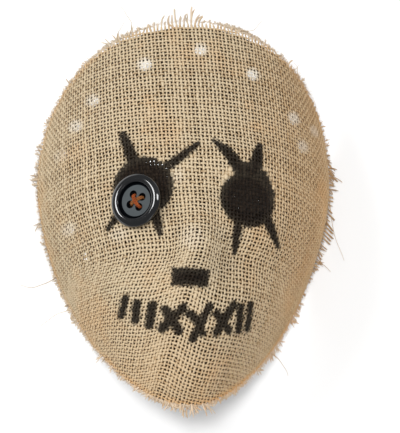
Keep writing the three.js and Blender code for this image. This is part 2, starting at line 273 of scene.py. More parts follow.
def shade(red, green, blue):
    """A colour given in display values from 0 to 255, as Blender's linear values."""
    values = np.array([red, green, blue]) / 255
    linear = np.where(values <= 0.04045, values / 12.92, ((values + 0.055) / 1.055) ** 2.4)
    return tuple(float(v) for v in linear)


def scaled(colour, factor):
    """A darker or lighter colour."""
    return tuple(factor * c for c in colour)


# The form of the face


def half_width(y):
    """Half width of the face at a station, at the level of the section's base."""
    up = np.clip((y - WIDEST_Y) / (HALF_LENGTH - WIDEST_Y), 0, 1)
    down = np.clip((WIDEST_Y - y) / (HALF_LENGTH + WIDEST_Y), 0, 1)
    forehead = 1 - FOREHEAD_SHARE * up**FOREHEAD_POWER
    jaw = 1 - JAW_SHARE * down**JAW_POWER
    return HALF_WIDTH * forehead * jaw


def middle_height(y):
    """Height of the middle line, without nose and relief."""
    share = np.clip(np.abs(y) / HALF_LENGTH, 0, 1)
    fall = share ** np.where(y > 0, FOREHEAD_FALL, CHIN_FALL)
    return CROWN_HEIGHT - (CROWN_HEIGHT - END_HEIGHT) * fall


def edge_height(y):
    """Height of the cut edge, the same on both sides."""
    beyond = np.maximum(0, np.abs(y - REST_Y) - REST_LENGTH / 2)
    reach = HALF_LENGTH - REST_LENGTH / 2 + np.where(y > REST_Y, -REST_Y, REST_Y)
    return END_HEIGHT * (beyond / reach) ** 2


def relief(x, y):
    """Rise of the nose and of the soft hollows and swellings."""
    along = y - NOSE_Y
    above = (np.maximum(along, 0) / NOSE_ABOVE) ** NOSE_ABOVE_POWER
    below = (np.maximum(-along, 0) / NOSE_BELOW) ** NOSE_BELOW_POWER
    narrowing = np.clip(along / NOSE_NARROWS_OVER, 0, 1)
    half = NOSE_TIP_HALF + (NOSE_BRIDGE_HALF - NOSE_TIP_HALF) * narrowing
    rise = NOSE_RISE * np.exp(-above - below - (np.abs(x) / half) ** NOSE_ACROSS_POWER)
    for _, middle_x, middle_y, wide, high, spot_rise, paired in RELIEF:
        for side in (1, -1) if paired else (1,):
            across = (x - side * middle_x * MM) / (wide * MM)
            up = (y - middle_y * MM) / (high * MM)
            rise = rise + spot_rise * MM * np.exp(-across * across - up * up)
    return rise


def skin(angle, y, inset):
    """Points of the skin that lies inset inside the cloth's outside, at an angle from the middle line."""
    angle, y = np.broadcast_arrays(angle, y)
    x = (half_width(y) - inset) * np.sin(angle)
    rise = (middle_height(y) - inset - SECTION_BASE) * np.cos(angle)
    return np.stack([x, y, SECTION_BASE + rise + relief(x, y)], -1)


def skin_normal(angle, y, inset):
    """Unit normals of the skin, pointing out."""
    turn, step = 1e-3, 0.1 * MM
    across = skin(angle + turn, y, inset) - skin(angle - turn, y, inset)
    along = skin(angle, y + step, inset) - skin(angle, y - step, inset)
    return unit(np.cross(across, along))


def angle_at(x, y, inset):
    """Angle of the skin's point over a place."""
    return np.arcsin(np.clip(x / (half_width(y) - inset), -1, 1))


def skin_height(x, y):
    """Height of the cloth's outside over a place."""
    return skin(angle_at(x, y, 0.0), y, 0.0)[..., 2]


def last_where(test, low, high, rounds=40):
    """The last values, between low where the test holds and high where it doesn't, for which it holds."""
    low, high = np.broadcast_arrays(np.asarray(low, float), np.asarray(high, float))
    for _ in range(rounds):
        middle = (low + high) / 2
        holds = test(middle)
        low = np.where(holds, middle, low)
        high = np.where(holds, high, middle)
    return low


def angle_at_height(y, height, inset):
    """Angle from the middle line at which a skin comes down to a height."""
    y = np.asarray(y, float)
    return last_where(lambda a: skin(a, y, inset)[..., 2] > height, np.zeros_like(y), math.pi / 2)


def end_station(side, inset, above=0.0):
    """The station where a skin's middle line comes down to the cut edge, or some way above it."""
    def inside(far):
        y = side * far
        return skin(0.0, y, inset)[..., 2] > edge_height(y) + above
    return side * float(last_where(inside, HALF_LENGTH / 2, 1.2 * HALF_LENGTH))


def stations(top, bottom, turns):
    """Stations between two ends, at turns from 0 to half a turn, closer together at the ends."""
    return (top + bottom) / 2 + (top - bottom) / 2 * np.cos(turns)


def oval(x, y, middle_x, middle_y, wide, high):
    """How far a place is from an oval's middle, as a share of the oval's half sizes in millimetres."""
    return np.hypot((x / MM - middle_x) / wide, (y / MM - middle_y) / high)


# Blender helpers


def new_object(name, data):
    """A new object in the scene, at the origin."""
    thing = bpy.data.objects.new(name, data)
    bpy.context.scene.collection.objects.link(thing)
    return thing


def mesh_object(name, points, faces=(), edges=()):
    """A new object with a mesh of its own."""
    mesh = bpy.data.meshes.new(name)
    mesh.from_pydata([tuple(p) for p in points], [tuple(e) for e in edges], [tuple(f) for f in faces])
    mesh.validate()
    return new_object(name, mesh)


def set_attribute(thing, name, values):
    """Stores one value or one vector for each vertex."""
    values = np.asarray(values, np.float32)
    kind, key = ("FLOAT_VECTOR", "vector") if values.ndim == 2 else ("FLOAT", "value")
    thing.data.attributes.new(name, kind, "POINT").data.foreach_set(key, values.ravel())


def feed(node, inputs):
    """Sets a node's inputs, or links them to other nodes' values, by socket name or number."""
    for key, value in inputs.items():
        if isinstance(value, Value):
            node.id_data.links.new(value.socket, node.inputs[key])
        else:
            node.inputs[key].default_value = value


def add_node(tree, kind, inputs=None, **settings):
    """Adds a node and feeds it."""
    made = tree.nodes.new(kind)
    for key, value in settings.items():
        setattr(made, key, value)
    feed(made, inputs or {})
    return made


def value_of(tree, kind, inputs=None, output=0, **settings):
    """The output of a new node."""
    return Value(add_node(tree, kind, inputs, **settings).outputs[output])


class Value:
    """A node's output. Arithmetic on it adds Math nodes to its tree."""

    def __init__(self, socket):
        self.socket = socket

    def through(self, kind, inputs, output=0, **settings):
        """The output of a new node in the same tree."""
        return value_of(self.socket.id_data, kind, inputs, output, **settings)

    def maths(self, operation, first, second=0.0):
        """The output of a Math node."""
        return self.through("ShaderNodeMath", {0: first, 1: second}, operation=operation)

    def __add__(self, other):
        return self.maths("ADD", self, other)

    def __sub__(self, other):
        return self.maths("SUBTRACT", self, other)

    def __rsub__(self, other):
        return self.maths("SUBTRACT", other, self)

    def __mul__(self, other):
        return self.maths("MULTIPLY", self, other)

    def clamped(self):
        """The same sum, kept between 0 and 1."""
        self.socket.node.use_clamp = True
        return self

    def ramp(self, low, high):
        """Smooth rise from 0 to 1 as the value goes from low to high."""
        wanted = {"Value": self, "From Min": low, "From Max": high}
        return self.through("ShaderNodeMapRange", wanted, "Result", interpolation_type="SMOOTHSTEP")

    def noise(self, scale, detail=2.0, roughness=0.5):
        """Noise over the places that the value gives."""
        wanted = {"Vector": self, "Scale": scale, "Detail": detail, "Roughness": roughness}
        return self.through("ShaderNodeTexNoise", wanted)


def group_tree(name, kind, inputs, outputs):
    """An empty node group, its inputs as values, each given by type or default, and its output node."""
    tree = bpy.data.node_groups.new(name, kind)
    for label, value in inputs.items():
        known = value if isinstance(value, str) else type(value).__name__.title()
        made = tree.interface.new_socket(label, in_out="INPUT", socket_type=f"NodeSocket{known}")
        if known != value:
            made.default_value = value
    for label, known in outputs.items():
        tree.interface.new_socket(label, in_out="OUTPUT", socket_type=f"NodeSocket{known}")
    given = tree.nodes.new("NodeGroupInput")
    return tree, {label: Value(given.outputs[label]) for label in inputs}, tree.nodes.new("NodeGroupOutput")


@functools.cache
def fibre_grain():
    """Fine fibres along a direction: a mask of lighter fibres and a height for bumps."""
    inputs = {"Vector": "Vector", "Fineness": 2600.0, "Blotches": 70.0}
    outputs = {"Mask": "Float", "Height": "Float"}
    tree, given, out = group_tree("fibre grain", "ShaderNodeTree", inputs, outputs)
    fine = given["Vector"].noise(given["Fineness"], 3.0, 0.65)
    broad = given["Vector"].noise(given["Blotches"], 4.0, 0.6)
    feed(out, {"Mask": (fine * 0.55 + broad * 0.45).ramp(0.32, 0.68), "Height": fine})
    return tree


@functools.cache
def dust_specks():
    """Pale dust and lint: a mask of sparse soft specks over a faint haze."""
    inputs = {"Vector": "Vector", "Fineness": 900.0, "Cover": 0.6}
    tree, given, out = group_tree("dust specks", "ShaderNodeTree", inputs, {"Mask": "Float"})
    specks = given["Vector"].noise(given["Fineness"], 2.0, 0.7)
    haze = given["Vector"].noise(45.0, 3.0, 0.6)
    feed(out, {"Mask": (specks.ramp(given["Cover"], 0.95) + haze.ramp(0.45, 0.75) * 0.25).clamped()})
    return tree


class Finish:
    """A material in the making, on a bare Principled shader."""

    def __init__(self, name):
        self.material = bpy.data.materials.new(name)
        self.material.use_nodes = True
        self.tree = self.material.node_tree
        self.place = self.value("ShaderNodeTexCoord", output="Object")

    def value(self, kind, inputs=None, output=0, **settings):
        """The output of a new node."""
        return value_of(self.tree, kind, inputs, output, **settings)

    def attribute(self, name):
        """A stored attribute of the mesh."""
        return self.value("ShaderNodeAttribute", output="Fac", attribute_name=name)

    def grain(self, fineness, blotches):
        """The mask and the height of the fibre grain."""
        wanted = {"Vector": self.place, "Fineness": fineness, "Blotches": blotches}
        made = add_node(self.tree, "ShaderNodeGroup", wanted, node_tree=fibre_grain())
        return Value(made.outputs["Mask"]), Value(made.outputs["Height"])

    def dust(self, fineness, cover):
        """The mask of the dust."""
        wanted = {"Vector": self.place, "Fineness": fineness, "Cover": cover}
        return self.value("ShaderNodeGroup", wanted, node_tree=dust_specks())

    def mixed(self, factor, first, second, blend="MIX"):
        """A mix of two colours."""
        first, second = (c if isinstance(c, Value) else (*c[:3], 1.0) for c in (first, second))
        wanted = {0: factor, 6: first, 7: second}
        return self.value("ShaderNodeMix", wanted, 2, data_type="RGBA", blend_type=blend)

    def bump(self, height, strength, distance):
        """Normals raised by a height."""
        return self.value("ShaderNodeBump", {"Height": height, "Strength": strength, "Distance": distance})

    def done(self, inputs):
        """Feeds the shader, and gives the material."""
        feed(self.tree.nodes["Principled BSDF"], inputs)
        return self.material


# Geometry Nodes trees


@functools.cache
def shape_tree(name):
    """The tree of a kind of shape, ended by smooth faces, real geometry and one material."""
    build, inputs = SHAPES[name]
    inputs = {"Geometry": "Geometry", **inputs, "Material": "Material"}
    tree, given, out = group_tree(name, "GeometryNodeTree", inputs, {"Geometry": "Geometry"})

    def make(kind, inputs=None, output=0, **settings):
        full = kind if "Node" in kind else f"GeometryNode{kind}"
        return value_of(tree, full, inputs, output, **settings)

    real = make("RealizeInstances", {0: make("SetShadeSmooth", {0: build(make, given)})})
    feed(out, {0: make("SetMaterial", {"Geometry": real, "Material": given["Material"]})})
    return tree


def stored(make, label, kind="FLOAT"):
    """A stored attribute, read inside a tree."""
    return make("InputNamedAttribute", {"Name": label}, "Attribute", data_type=kind)


def swept(make, given):
    """A profile swept along polylines. The paths hold "up" and "swell", and the profile holds "crest"."""
    paths = make("MeshToCurve", {"Mesh": given["Geometry"]})
    up = stored(make, "up", "FLOAT_VECTOR")
    turned = make("SetCurveNormal", {"Curve": paths, "Normal": up}, mode="FREE")
    closed = make("MeshToCurve", {"Mesh": make("ObjectInfo", {"Object": given["Profile"]}, "Geometry")})
    sizes = make("ShaderNodeCombineXYZ", {0: given["Thickness"], 1: given["Width"], 2: 1.0})
    return make("CurveToMesh", {
        "Curve": turned, "Profile Curve": make("Transform", {"Geometry": closed, "Scale": sizes}),
        "Scale": stored(make, "swell"), "Fill Caps": True,
    })


def strewn(make, given):
    """Short curved fibres strewn over faces, leaning at random from the faces' normals."""
    section = make("CurvePrimitiveCircle", {"Resolution": 3, "Radius": given["Thickness"]})
    thinner = 1.0 - make("SplineParameter", output="Factor") * 0.75
    lengths = make("ShaderNodeCombineXYZ", {axis: given["Length"] for axis in range(3)})
    shapes = make("JoinGeometry")
    for bend_x, bend_y, belly in FIBRE_BENDS:
        arc = make("CurveQuadraticBezier", {
            "Resolution": 4, "Start": (0, 0, 0), "Middle": (0, 0, belly), "End": (bend_x, bend_y, 0.9),
        })
        solid = make("CurveToMesh", {
            "Curve": make("Transform", {"Geometry": arc, "Scale": lengths}), "Profile Curve": section,
            "Scale": thinner, "Fill Caps": True,
        })
        feed(shapes.socket.node, {0: make("GeometryToInstance", {"Geometry": solid})})

    def drawn(offset, low, high, first=2, kind="FLOAT"):
        wanted = {first: low, first + 1: high, "Seed": given["Seed"] + float(offset)}
        return make("FunctionNodeRandomValue", wanted, first // 2, data_type=kind)

    lean, spin = drawn(1, given["Least lean"], given["Most lean"]), drawn(2, 0.0, 2 * math.pi)
    size, which = drawn(3, 0.4, 1.5), drawn(4, 0, 3, 4, "INT")
    spots = make("DistributePointsOnFaces", {
        "Mesh": given["Geometry"], "Density": given["Density"], "Seed": given["Seed"],
    }, "Points")
    turned = Value(spots.socket.node.outputs["Rotation"])
    for axis, angle in ((2, spin), (0, lean)):
        by = make("FunctionNodeEulerToRotation", {0: make("ShaderNodeCombineXYZ", {axis: angle})})
        turned = make("FunctionNodeRotateRotation", {0: turned, 1: by}, rotation_space="LOCAL")
    return make("InstanceOnPoints", {
        "Points": spots, "Instance": shapes, "Pick Instance": True, "Instance Index": which,
        "Rotation": turned, "Scale": size,
    })


def punched(make, given):
    """A solid with a copy of a cutter taken out of it at each point. The points hold "axis" and "size"."""
    axis = stored(make, "axis", "FLOAT_VECTOR")
    aimed = make("FunctionNodeAlignRotationToVector", {"Vector": axis}, axis="Z")
    cutters = make("InstanceOnPoints", {
        "Points": make("ObjectInfo", {"Object": given["Places"]}, "Geometry"),
        "Instance": make("ObjectInfo", {"Object": given["Cutter"], "As Instance": True}, "Geometry"),
        "Rotation": aimed, "Scale": stored(make, "size", "FLOAT_VECTOR"),
    })
    cut = {"Mesh 1": given["Geometry"], "Mesh 2": make("RealizeInstances", {"Geometry": cutters})}
    return make("MeshBoolean", cut, operation="DIFFERENCE", solver="MANIFOLD")


# Each kind of shape: what builds its geometry, and its inputs by type or default
SHAPES = {
    "swept paths": (swept, {"Profile": "Object", "Thickness": 0.7 * MM, "Width": 1.6 * MM}),
    "strewn fibres": (strewn, {
        "Density": 1.0, "Length": 4 * MM, "Thickness": 0.1 * MM, "Least lean": 0.2, "Most lean": 1.2,
        "Seed": 1,
    }),
    "punched openings": (punched, {"Places": "Object", "Cutter": "Object"}),
}


def grown(name, source, kind, **inputs):
    """A kind of shape made from a source, as a new object of plain mesh. What it came from is removed."""
    tree = shape_tree(kind)
    modifier = source.modifiers.new("grow", "NODES")
    modifier.node_group = tree
    sockets = {s.name: s.identifier for s in tree.interface.items_tree if s.in_out == "INPUT"}
    for label, value in inputs.items():
        modifier[sockets[label.replace("_", " ")]] = value
    source.update_tag()
    graph = bpy.context.evaluated_depsgraph_get()
    mesh = bpy.data.meshes.new_from_object(source.evaluated_get(graph), depsgraph=graph)
    for used in (source, *inputs.values()):
        if isinstance(used, bpy.types.Object):
            bpy.data.objects.remove(used)
    mesh.name = name
    mesh.materials.clear()
    mesh.materials.append(inputs["Material"])
    mesh.polygons.foreach_set("material_index", np.zeros(len(mesh.polygons), np.int32))
    return new_object(name, mesh)


def drilled(name, solid, places, sizes, axes, cutter, material):
    """A solid with openings cut at places, each of its own size along its own axis."""
    spots = mesh_object("openings", places)
    set_attribute(spots, "axis", axes)
    set_attribute(spots, "size", sizes)
    return grown(name, solid, "punched openings", Places=spots, Cutter=cutter, Material=material)


def outline_object(name, points):
    """A closed outline in the XY plane, as a profile to sweep, with its height as "crest"."""
    number = len(points)
    edges = [(i, (i + 1) % number) for i in range(number)]
    thing = mesh_object(name, [(x, y, 0.0) for x, y in points], edges=edges)
    set_attribute(thing, "crest", [2 * x for x, _ in points])
    set_attribute(thing, "side", range(number))
    return thing


def path_of(points, up, swell, number, **values):
    """A path to sweep and what its material reads: an array, or one number for all of the path."""
    values = {"swell": swell, "along": run_lengths(points), "number": number, **values}
    path = {key: np.broadcast_to(value, len(points)) for key, value in values.items()}
    return {"points": points, "up": np.broadcast_to(up, (len(points), 3)), **path}


def sweep(name, paths, profile, thickness, width, material):
    """Sweeps a profile along paths."""
    counts = [len(p["points"]) for p in paths]
    starts = np.cumsum([0, *counts[:-1]])
    edges = [np.stack([np.arange(n - 1), np.arange(1, n)], -1) + s for s, n in zip(starts, counts)]
    merged = {key: np.concatenate([p[key] for p in paths]) for key in paths[0]}
    source = mesh_object(f"{name}_paths", merged.pop("points"), edges=np.concatenate(edges))
    for key, values in merged.items():
        set_attribute(source, key, values)
    sizes = {"Thickness": thickness, "Width": width}
    return grown(name, source, "swept paths", Profile=profile, Material=material, **sizes)


def yarns(name, paths, sides, thickness, width, material):
    """Sweeps a round profile of a circle's area along paths, each laid out as a strip in a UV map."""
    reach = 0.5 * math.sqrt(2 * math.pi / (sides * math.sin(2 * math.pi / sides)))
    turns = [2 * math.pi * i / sides for i in range(sides)]
    outline = outline_object("round_outline", [(reach * math.cos(a), reach * math.sin(a)) for a in turns])
    thing = sweep(name, paths, outline, thickness, width, material)
    mesh = thing.data
    stored_values = np.zeros((3, len(mesh.vertices)), np.float32)
    for row, label in zip(stored_values, ("along", "number", "side")):
        mesh.attributes[label].data.foreach_get("value", row)
    along, number, side = stored_values
    corners = np.zeros(len(mesh.loops), int)
    mesh.loops.foreach_get("vertex_index", corners)
    totals = np.zeros(len(mesh.polygons), int)
    mesh.polygons.foreach_get("loop_total", totals)
    owner = np.repeat(np.arange(len(totals)), totals)
    around = side[corners]
    last = np.zeros(len(totals))
    np.maximum.at(last, owner, around)
    first = np.full(len(totals), float(sides))
    np.minimum.at(first, owner, around)
    seam = ((last == sides - 1) & (first == 0) & (totals == 4))[owner]
    around = np.where(seam & (around == 0), sides, around)
    across = (number[corners] + STRIP_MARGIN + (1 - 2 * STRIP_MARGIN) * around / sides) / (number.max() + 1)
    uv = np.stack([along[corners] / max(along.max(), 1e-6), across], -1)
    mesh.uv_layers.new(name="OFBake").data.foreach_set("uv", uv.astype(np.float32).ravel())
    return thing


def own(thing, node=None):
    """Rides on the mask's body and stands for a node of the frame, which it hides."""
    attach(thing, BODY)
    if node:
        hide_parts(node)


# Settings


def length(name, description, default):
    """A length setting."""
    return bpy.props.FloatProperty(
        name=name, description=description, default=default, unit="LENGTH", precision=5,
    )


def colour(name, description, default):
    """A colour setting."""
    return bpy.props.FloatVectorProperty(
        name=name, description=description, default=default, subtype="COLOR",
    )


def amount(name, description, default, unit="NONE"):
    """A setting of a plain number, or of a light's power."""
    return bpy.props.FloatProperty(name=name, description=description, default=default, unit=unit)


def count(name, description, default):
    """A setting of a whole number."""
    return bpy.props.IntProperty(name=name, description=description, default=default)


class WeaveSettings(bpy.types.PropertyGroup):
    """The sacking's yarns."""

    warp_pitch: length("Warp pitch", "Spacing of the yarns that run up the face", 2.44 * MM)
    weft_pitch_low: length("Weft pitch below", "Spacing of the cross yarns on the lower face", 2.52 * MM)
    weft_pitch_high: length("Weft pitch above", "Spacing of the cross yarns on the forehead", 2.66 * MM)
    yarn_width: length("Yarn width", "Width of a yarn, seen from the front", 1.28 * MM)
    yarn_thickness: length("Yarn thickness", "Thickness of a yarn", 0.70 * MM)
    crimp: length("Crimp", "How far a yarn rises over and dips under the ones it crosses", 0.32 * MM)
    light: colour("Light jute", "Colour of the palest fibres", shade(202, 184, 154))
    middle: colour("Middle jute", "Colour of most fibres", shade(166, 142, 109))
    dark: colour("Dark jute", "Colour of the brownest fibres", shade(106, 77, 42))
    edge: colour("Edge tint", "Colour of the cut edges", shade(208, 165, 116))
    seed: count("Seed", "Fixes the random slubs and lengths", 7)


class PaintSettings(bpy.types.PropertyGroup):
    """The brushed black marks."""

    colour: colour("Paint", "Colour of the brushed marks", shade(8, 8, 8))
    softness: length("Softness", "How far the marks' edges fade", 1.6 * MM)


class ShellSettings(bpy.types.PropertyGroup):
    """The moulded face shell."""

    rows: count("Rows", "Rows of faces from forehead to chin", 104)
    columns: count("Columns", "Columns of faces across", 88)
    colour: colour("Plastic", "Colour of the moulded plastic", shade(28, 19, 10))


class ButtonSettings(bpy.types.PropertyGroup):
    """The coat button and the thread that sews it on."""

    steps: count("Steps", "Steps round the turned button", 128)
    body: colour("Button", "Colour of the glossy body", shade(6, 8, 11))
    face: colour("Face", "Colour of the matt middle", shade(77, 82, 84))
    thread: colour("Thread", "Colour of the sewing thread", shade(184, 92, 44))
    # Painted sheen: the lower stitch is the same thread, drawn paler
    thread_below: colour("Thread below", "Colour of the worn stitch below", shade(164, 104, 56))
    ply: length("Ply", "Diameter of one ply of the thread", 0.62 * MM)
    twist: length("Twist", "Length of one turn of the thread's plies", 2.6 * MM)


class BandSettings(bpy.types.PropertyGroup):
    """The elastic band."""

    ribs: count("Ribs", "Rubber cords across the band's width", 9)
    colour: colour("Elastic", "Colour of the band", shade(24, 24, 25))


class StageSettings(bpy.types.PropertyGroup):
    """The camera, floor and lights."""

    distance: length("Distance", "Camera distance from the mask's middle", 1.1)
    lens: amount("Lens", "Focal length in millimetres", 144.2)
    floor: colour("Floor", "Colour of the floor", (0.92, 0.92, 0.92))
    key: amount("Key", "Soft light on the left", 6.0, "POWER")
    top: amount("Top", "Soft light from overhead", 9.9, "POWER")
    fill: amount("Fill", "Soft light from below the chin", 3.0, "POWER")
    glint: amount("Glint", "Small light overhead, for the button's gloss", 5.4, "POWER")
    under: amount("Under", "Light on the floor under the mask", 0.16, "POWER")
    sky: amount("Surroundings", "Strength of the white surroundings", 0.36)


# The woven cover


def draped_corner(angle, y, left, below, across, up):
    """Where a yarn crossing lies on the skin, at its pitches from the crossings beside and below it."""
    turn, step = 1e-4, 0.01 * MM
    scale = 1 / MM
    flat, most_turned, most_moved = 0.02, 0.03, 2.5
    for _ in range(8):
        here = skin(angle, y, YARN_PLANE)
        by_turn = (skin(angle + turn, y, YARN_PLANE) - here) / turn * scale
        by_step = (skin(angle, y + step, YARN_PLANE) - here) / step
        from_left, from_below = (here - left) * scale, (here - below) * scale
        miss_across = (from_left**2).sum(-1) - (across * scale) ** 2
        miss_up = (from_below**2).sum(-1) - (up * scale) ** 2
        a, b = 2 * (from_left * by_turn).sum(-1), 2 * (from_left * by_step).sum(-1)
        c, d = 2 * (from_below * by_turn).sum(-1), 2 * (from_below * by_step).sum(-1)
        det = a * d - b * c
        det = np.where(np.abs(det) < flat, np.where(det < 0, -flat, flat), det)
        angle = angle - np.clip((miss_across * d - miss_up * b) / det, -most_turned, most_turned)
        y = y - np.clip((miss_up * a - miss_across * c) / det, -most_moved, most_moved) * MM
    return angle, y


def stations_along(angle, y, distances):
    """Points of a curve on the skin at distances along it."""
    along = run_lengths(skin(angle, y, YARN_PLANE))
    return np.interp(distances, along, angle), np.interp(distances, along, y)


@functools.cache
def draped_cloth(warp_pitch, weft_low, weft_high):
    """Angle and station of every yarn crossing of a cloth laid over the face, warps first, wefts second."""
    warps, wefts = WARPS_EACH_SIDE, WEFTS_EACH_SIDE
    rise = smooth((np.arange(-wefts, wefts) + 0.5 - PITCH_CHANGE_FROM) / PITCH_CHANGE_OVER)
    pitches = weft_low + (weft_high - weft_low) * rise
    angle = np.full((2 * warps + 1, 2 * wefts + 1), np.nan)
    y = angle.copy()

    # How far the middle warp drifts sideways, at stations a tenth of a millimetre apart
    fine = np.linspace(-0.22, 0.22, 4401)
    slope = LEAN_FOREHEAD + (LEAN_CHIN - LEAN_FOREHEAD) * smooth((LEAN_FROM - fine) / LEAN_OVER)
    drift = np.cumsum(slope) * (fine[1] - fine[0])
    drift += MIDDLE_X - np.interp(MIDDLE_Y, fine, drift)

    # The middle warp and the middle weft, both ways from where they cross
    steps = {1: pitches[wefts:], -1: pitches[:wefts][::-1]}
    for way in (1, -1):
        run = MIDDLE_Y + way * np.linspace(0, 0.185, 1851)
        turned = angle_at(np.interp(run, fine, drift), run, YARN_PLANE)
        distances = np.concatenate([[0], np.cumsum(steps[way])])
        angle[warps, wefts::way], y[warps, wefts::way] = stations_along(turned, run, distances)
        turned = angle_at(MIDDLE_X, MIDDLE_Y, YARN_PLANE) + way * np.linspace(0, 2.4, 2401)
        distances = np.arange(warps + 1) * warp_pitch
        placed = stations_along(turned, MIDDLE_Y - WEFT_SAG * turned**2, distances)
        angle[warps::way, wefts], y[warps::way, wefts] = placed

    # The four quarters between them, each crossing a pitch from the two before it
    for across in (1, -1):
        for up in (1, -1):
            a, b = angle[warps::across, wefts::up], y[warps::across, wefts::up]
            for total in range(2, warps + wefts + 1):
                i = np.arange(max(1, total - wefts), min(warps, total - 1) + 1)
                j = total - i
                left = skin(a[i - 1, j], b[i - 1, j], YARN_PLANE)
                below = skin(a[i, j - 1], b[i, j - 1], YARN_PLANE)
                guess = (part[i - 1, j] + part[i, j - 1] - part[i - 1, j - 1] for part in (a, b))
                a[i, j], b[i, j] = draped_corner(*guess, left, below, warp_pitch, steps[up][j - 1])
    return angle, y


def paint_depth(x, y):
    """How far a place lies inside the nearest painted mark; negative outside."""
    depth = np.full(np.shape(x), -1.0)
    for name, x0, y0, x1, y1, width0, width1 in PAINT_STROKES:
        along = np.array([x1 - x0, y1 - y0]) * MM
        share = ((x - x0 * MM) * along[0] + (y - y0 * MM) * along[1]) / (along @ along)
        share = np.clip(share, 0, 1)
        away = np.hypot(x - x0 * MM - share * along[0], y - y0 * MM - share * along[1])
        dry = 1 - smooth(share * np.linalg.norm(along) / DRY_TIP_LENGTH)
        half = (width0 + (width1 - width0) * share) * MM / 2
        bleed = EYE_BLEED if "eye" in name else MOUTH_BLEED
        depth = np.maximum(depth, half + bleed - away - (DRY_TIP * dry if "ray" in name else 0.0))
    for _, *disc in PAINT_DISCS:
        depth = np.maximum(depth, (1 - oval(x, y, *disc)) * (disc[2] + disc[3]) / 2 * MM)
    middle_x, middle_y, wide, high, slope = PAINT_BAR
    across = x / MM - middle_x
    up = y / MM - middle_y - slope * across
    return np.maximum(depth, np.minimum(wide - np.abs(across), high - np.abs(up)) * MM)


def clogging(x, y):
    """How far the paint swells the yarns at a place."""
    swell = SWOLLEN * smooth(paint_depth(x, y) / (1.5 * MM))
    away = np.hypot((np.abs(x) - EYE_X) / EYE_HALF_WIDTH, (y - EYE_Y) / EYE_HALF_HEIGHT)
    swell = np.maximum(swell, CLOGGED * (1 - smooth((away - 1.04) / 0.12)))
    for *middle, reach in OPEN_GAPS:
        swell *= 0.56 + 0.44 * smooth(1.6 * (oval(x, y, *middle, reach, reach) - 0.6))
    return swell


def closeness(places, x, y):
    """How near a point is to any of some places, from 0 to 1."""
    near = np.zeros(np.shape(x))
    for _, *place in places:
        near = np.maximum(near, 1 - smooth((oval(x, y, *place) - 0.3) / 0.9))
    return near


def paleness(x, y):
    """How pale the cloth is: painted light over the vents, where light comes through, and in the paler
    places.
    """
    pale = 0.26 * closeness(PALE_PLACES, x, y)
    reach = 1.3 * VENT_RADIUS / MM
    # Painted light: the cloth over each vent is paler, as if lit from behind
    for *middle, light in VENTS:
        pale = np.maximum(pale, light * closeness([("vent", *middle, reach, reach)], x, y))
    return pale


def edge_distance(points):
    """Distance in millimetres from the cut edge, counted less in the browner places."""
    x, y, z = points[:, 0], points[:, 1], points[:, 2]
    return np.minimum((z - edge_height(y)) / MM, 13 - 7 * closeness(TAN_PLACES, x, y))


def dropped(places, points):
    """How far above the cut edge the crossing yarns have dropped out."""
    depth = np.zeros(points.shape[:-1])
    for name, *place, deepest in places:
        near = closeness([(name, *place)], points[..., 0], points[..., 1])
        depth = np.maximum(depth, deepest * MM * near)
    return depth


def wandering(rng, along, lengths, size):
    """A smooth random value along a yarn, the sum of a wave of each length in millimetres."""
    waves = [np.sin(2 * math.pi * along / (wave * MM) + rng.uniform(0, 2 * math.pi)) for wave in lengths]
    return size * sum(waves) / math.sqrt(len(lengths))


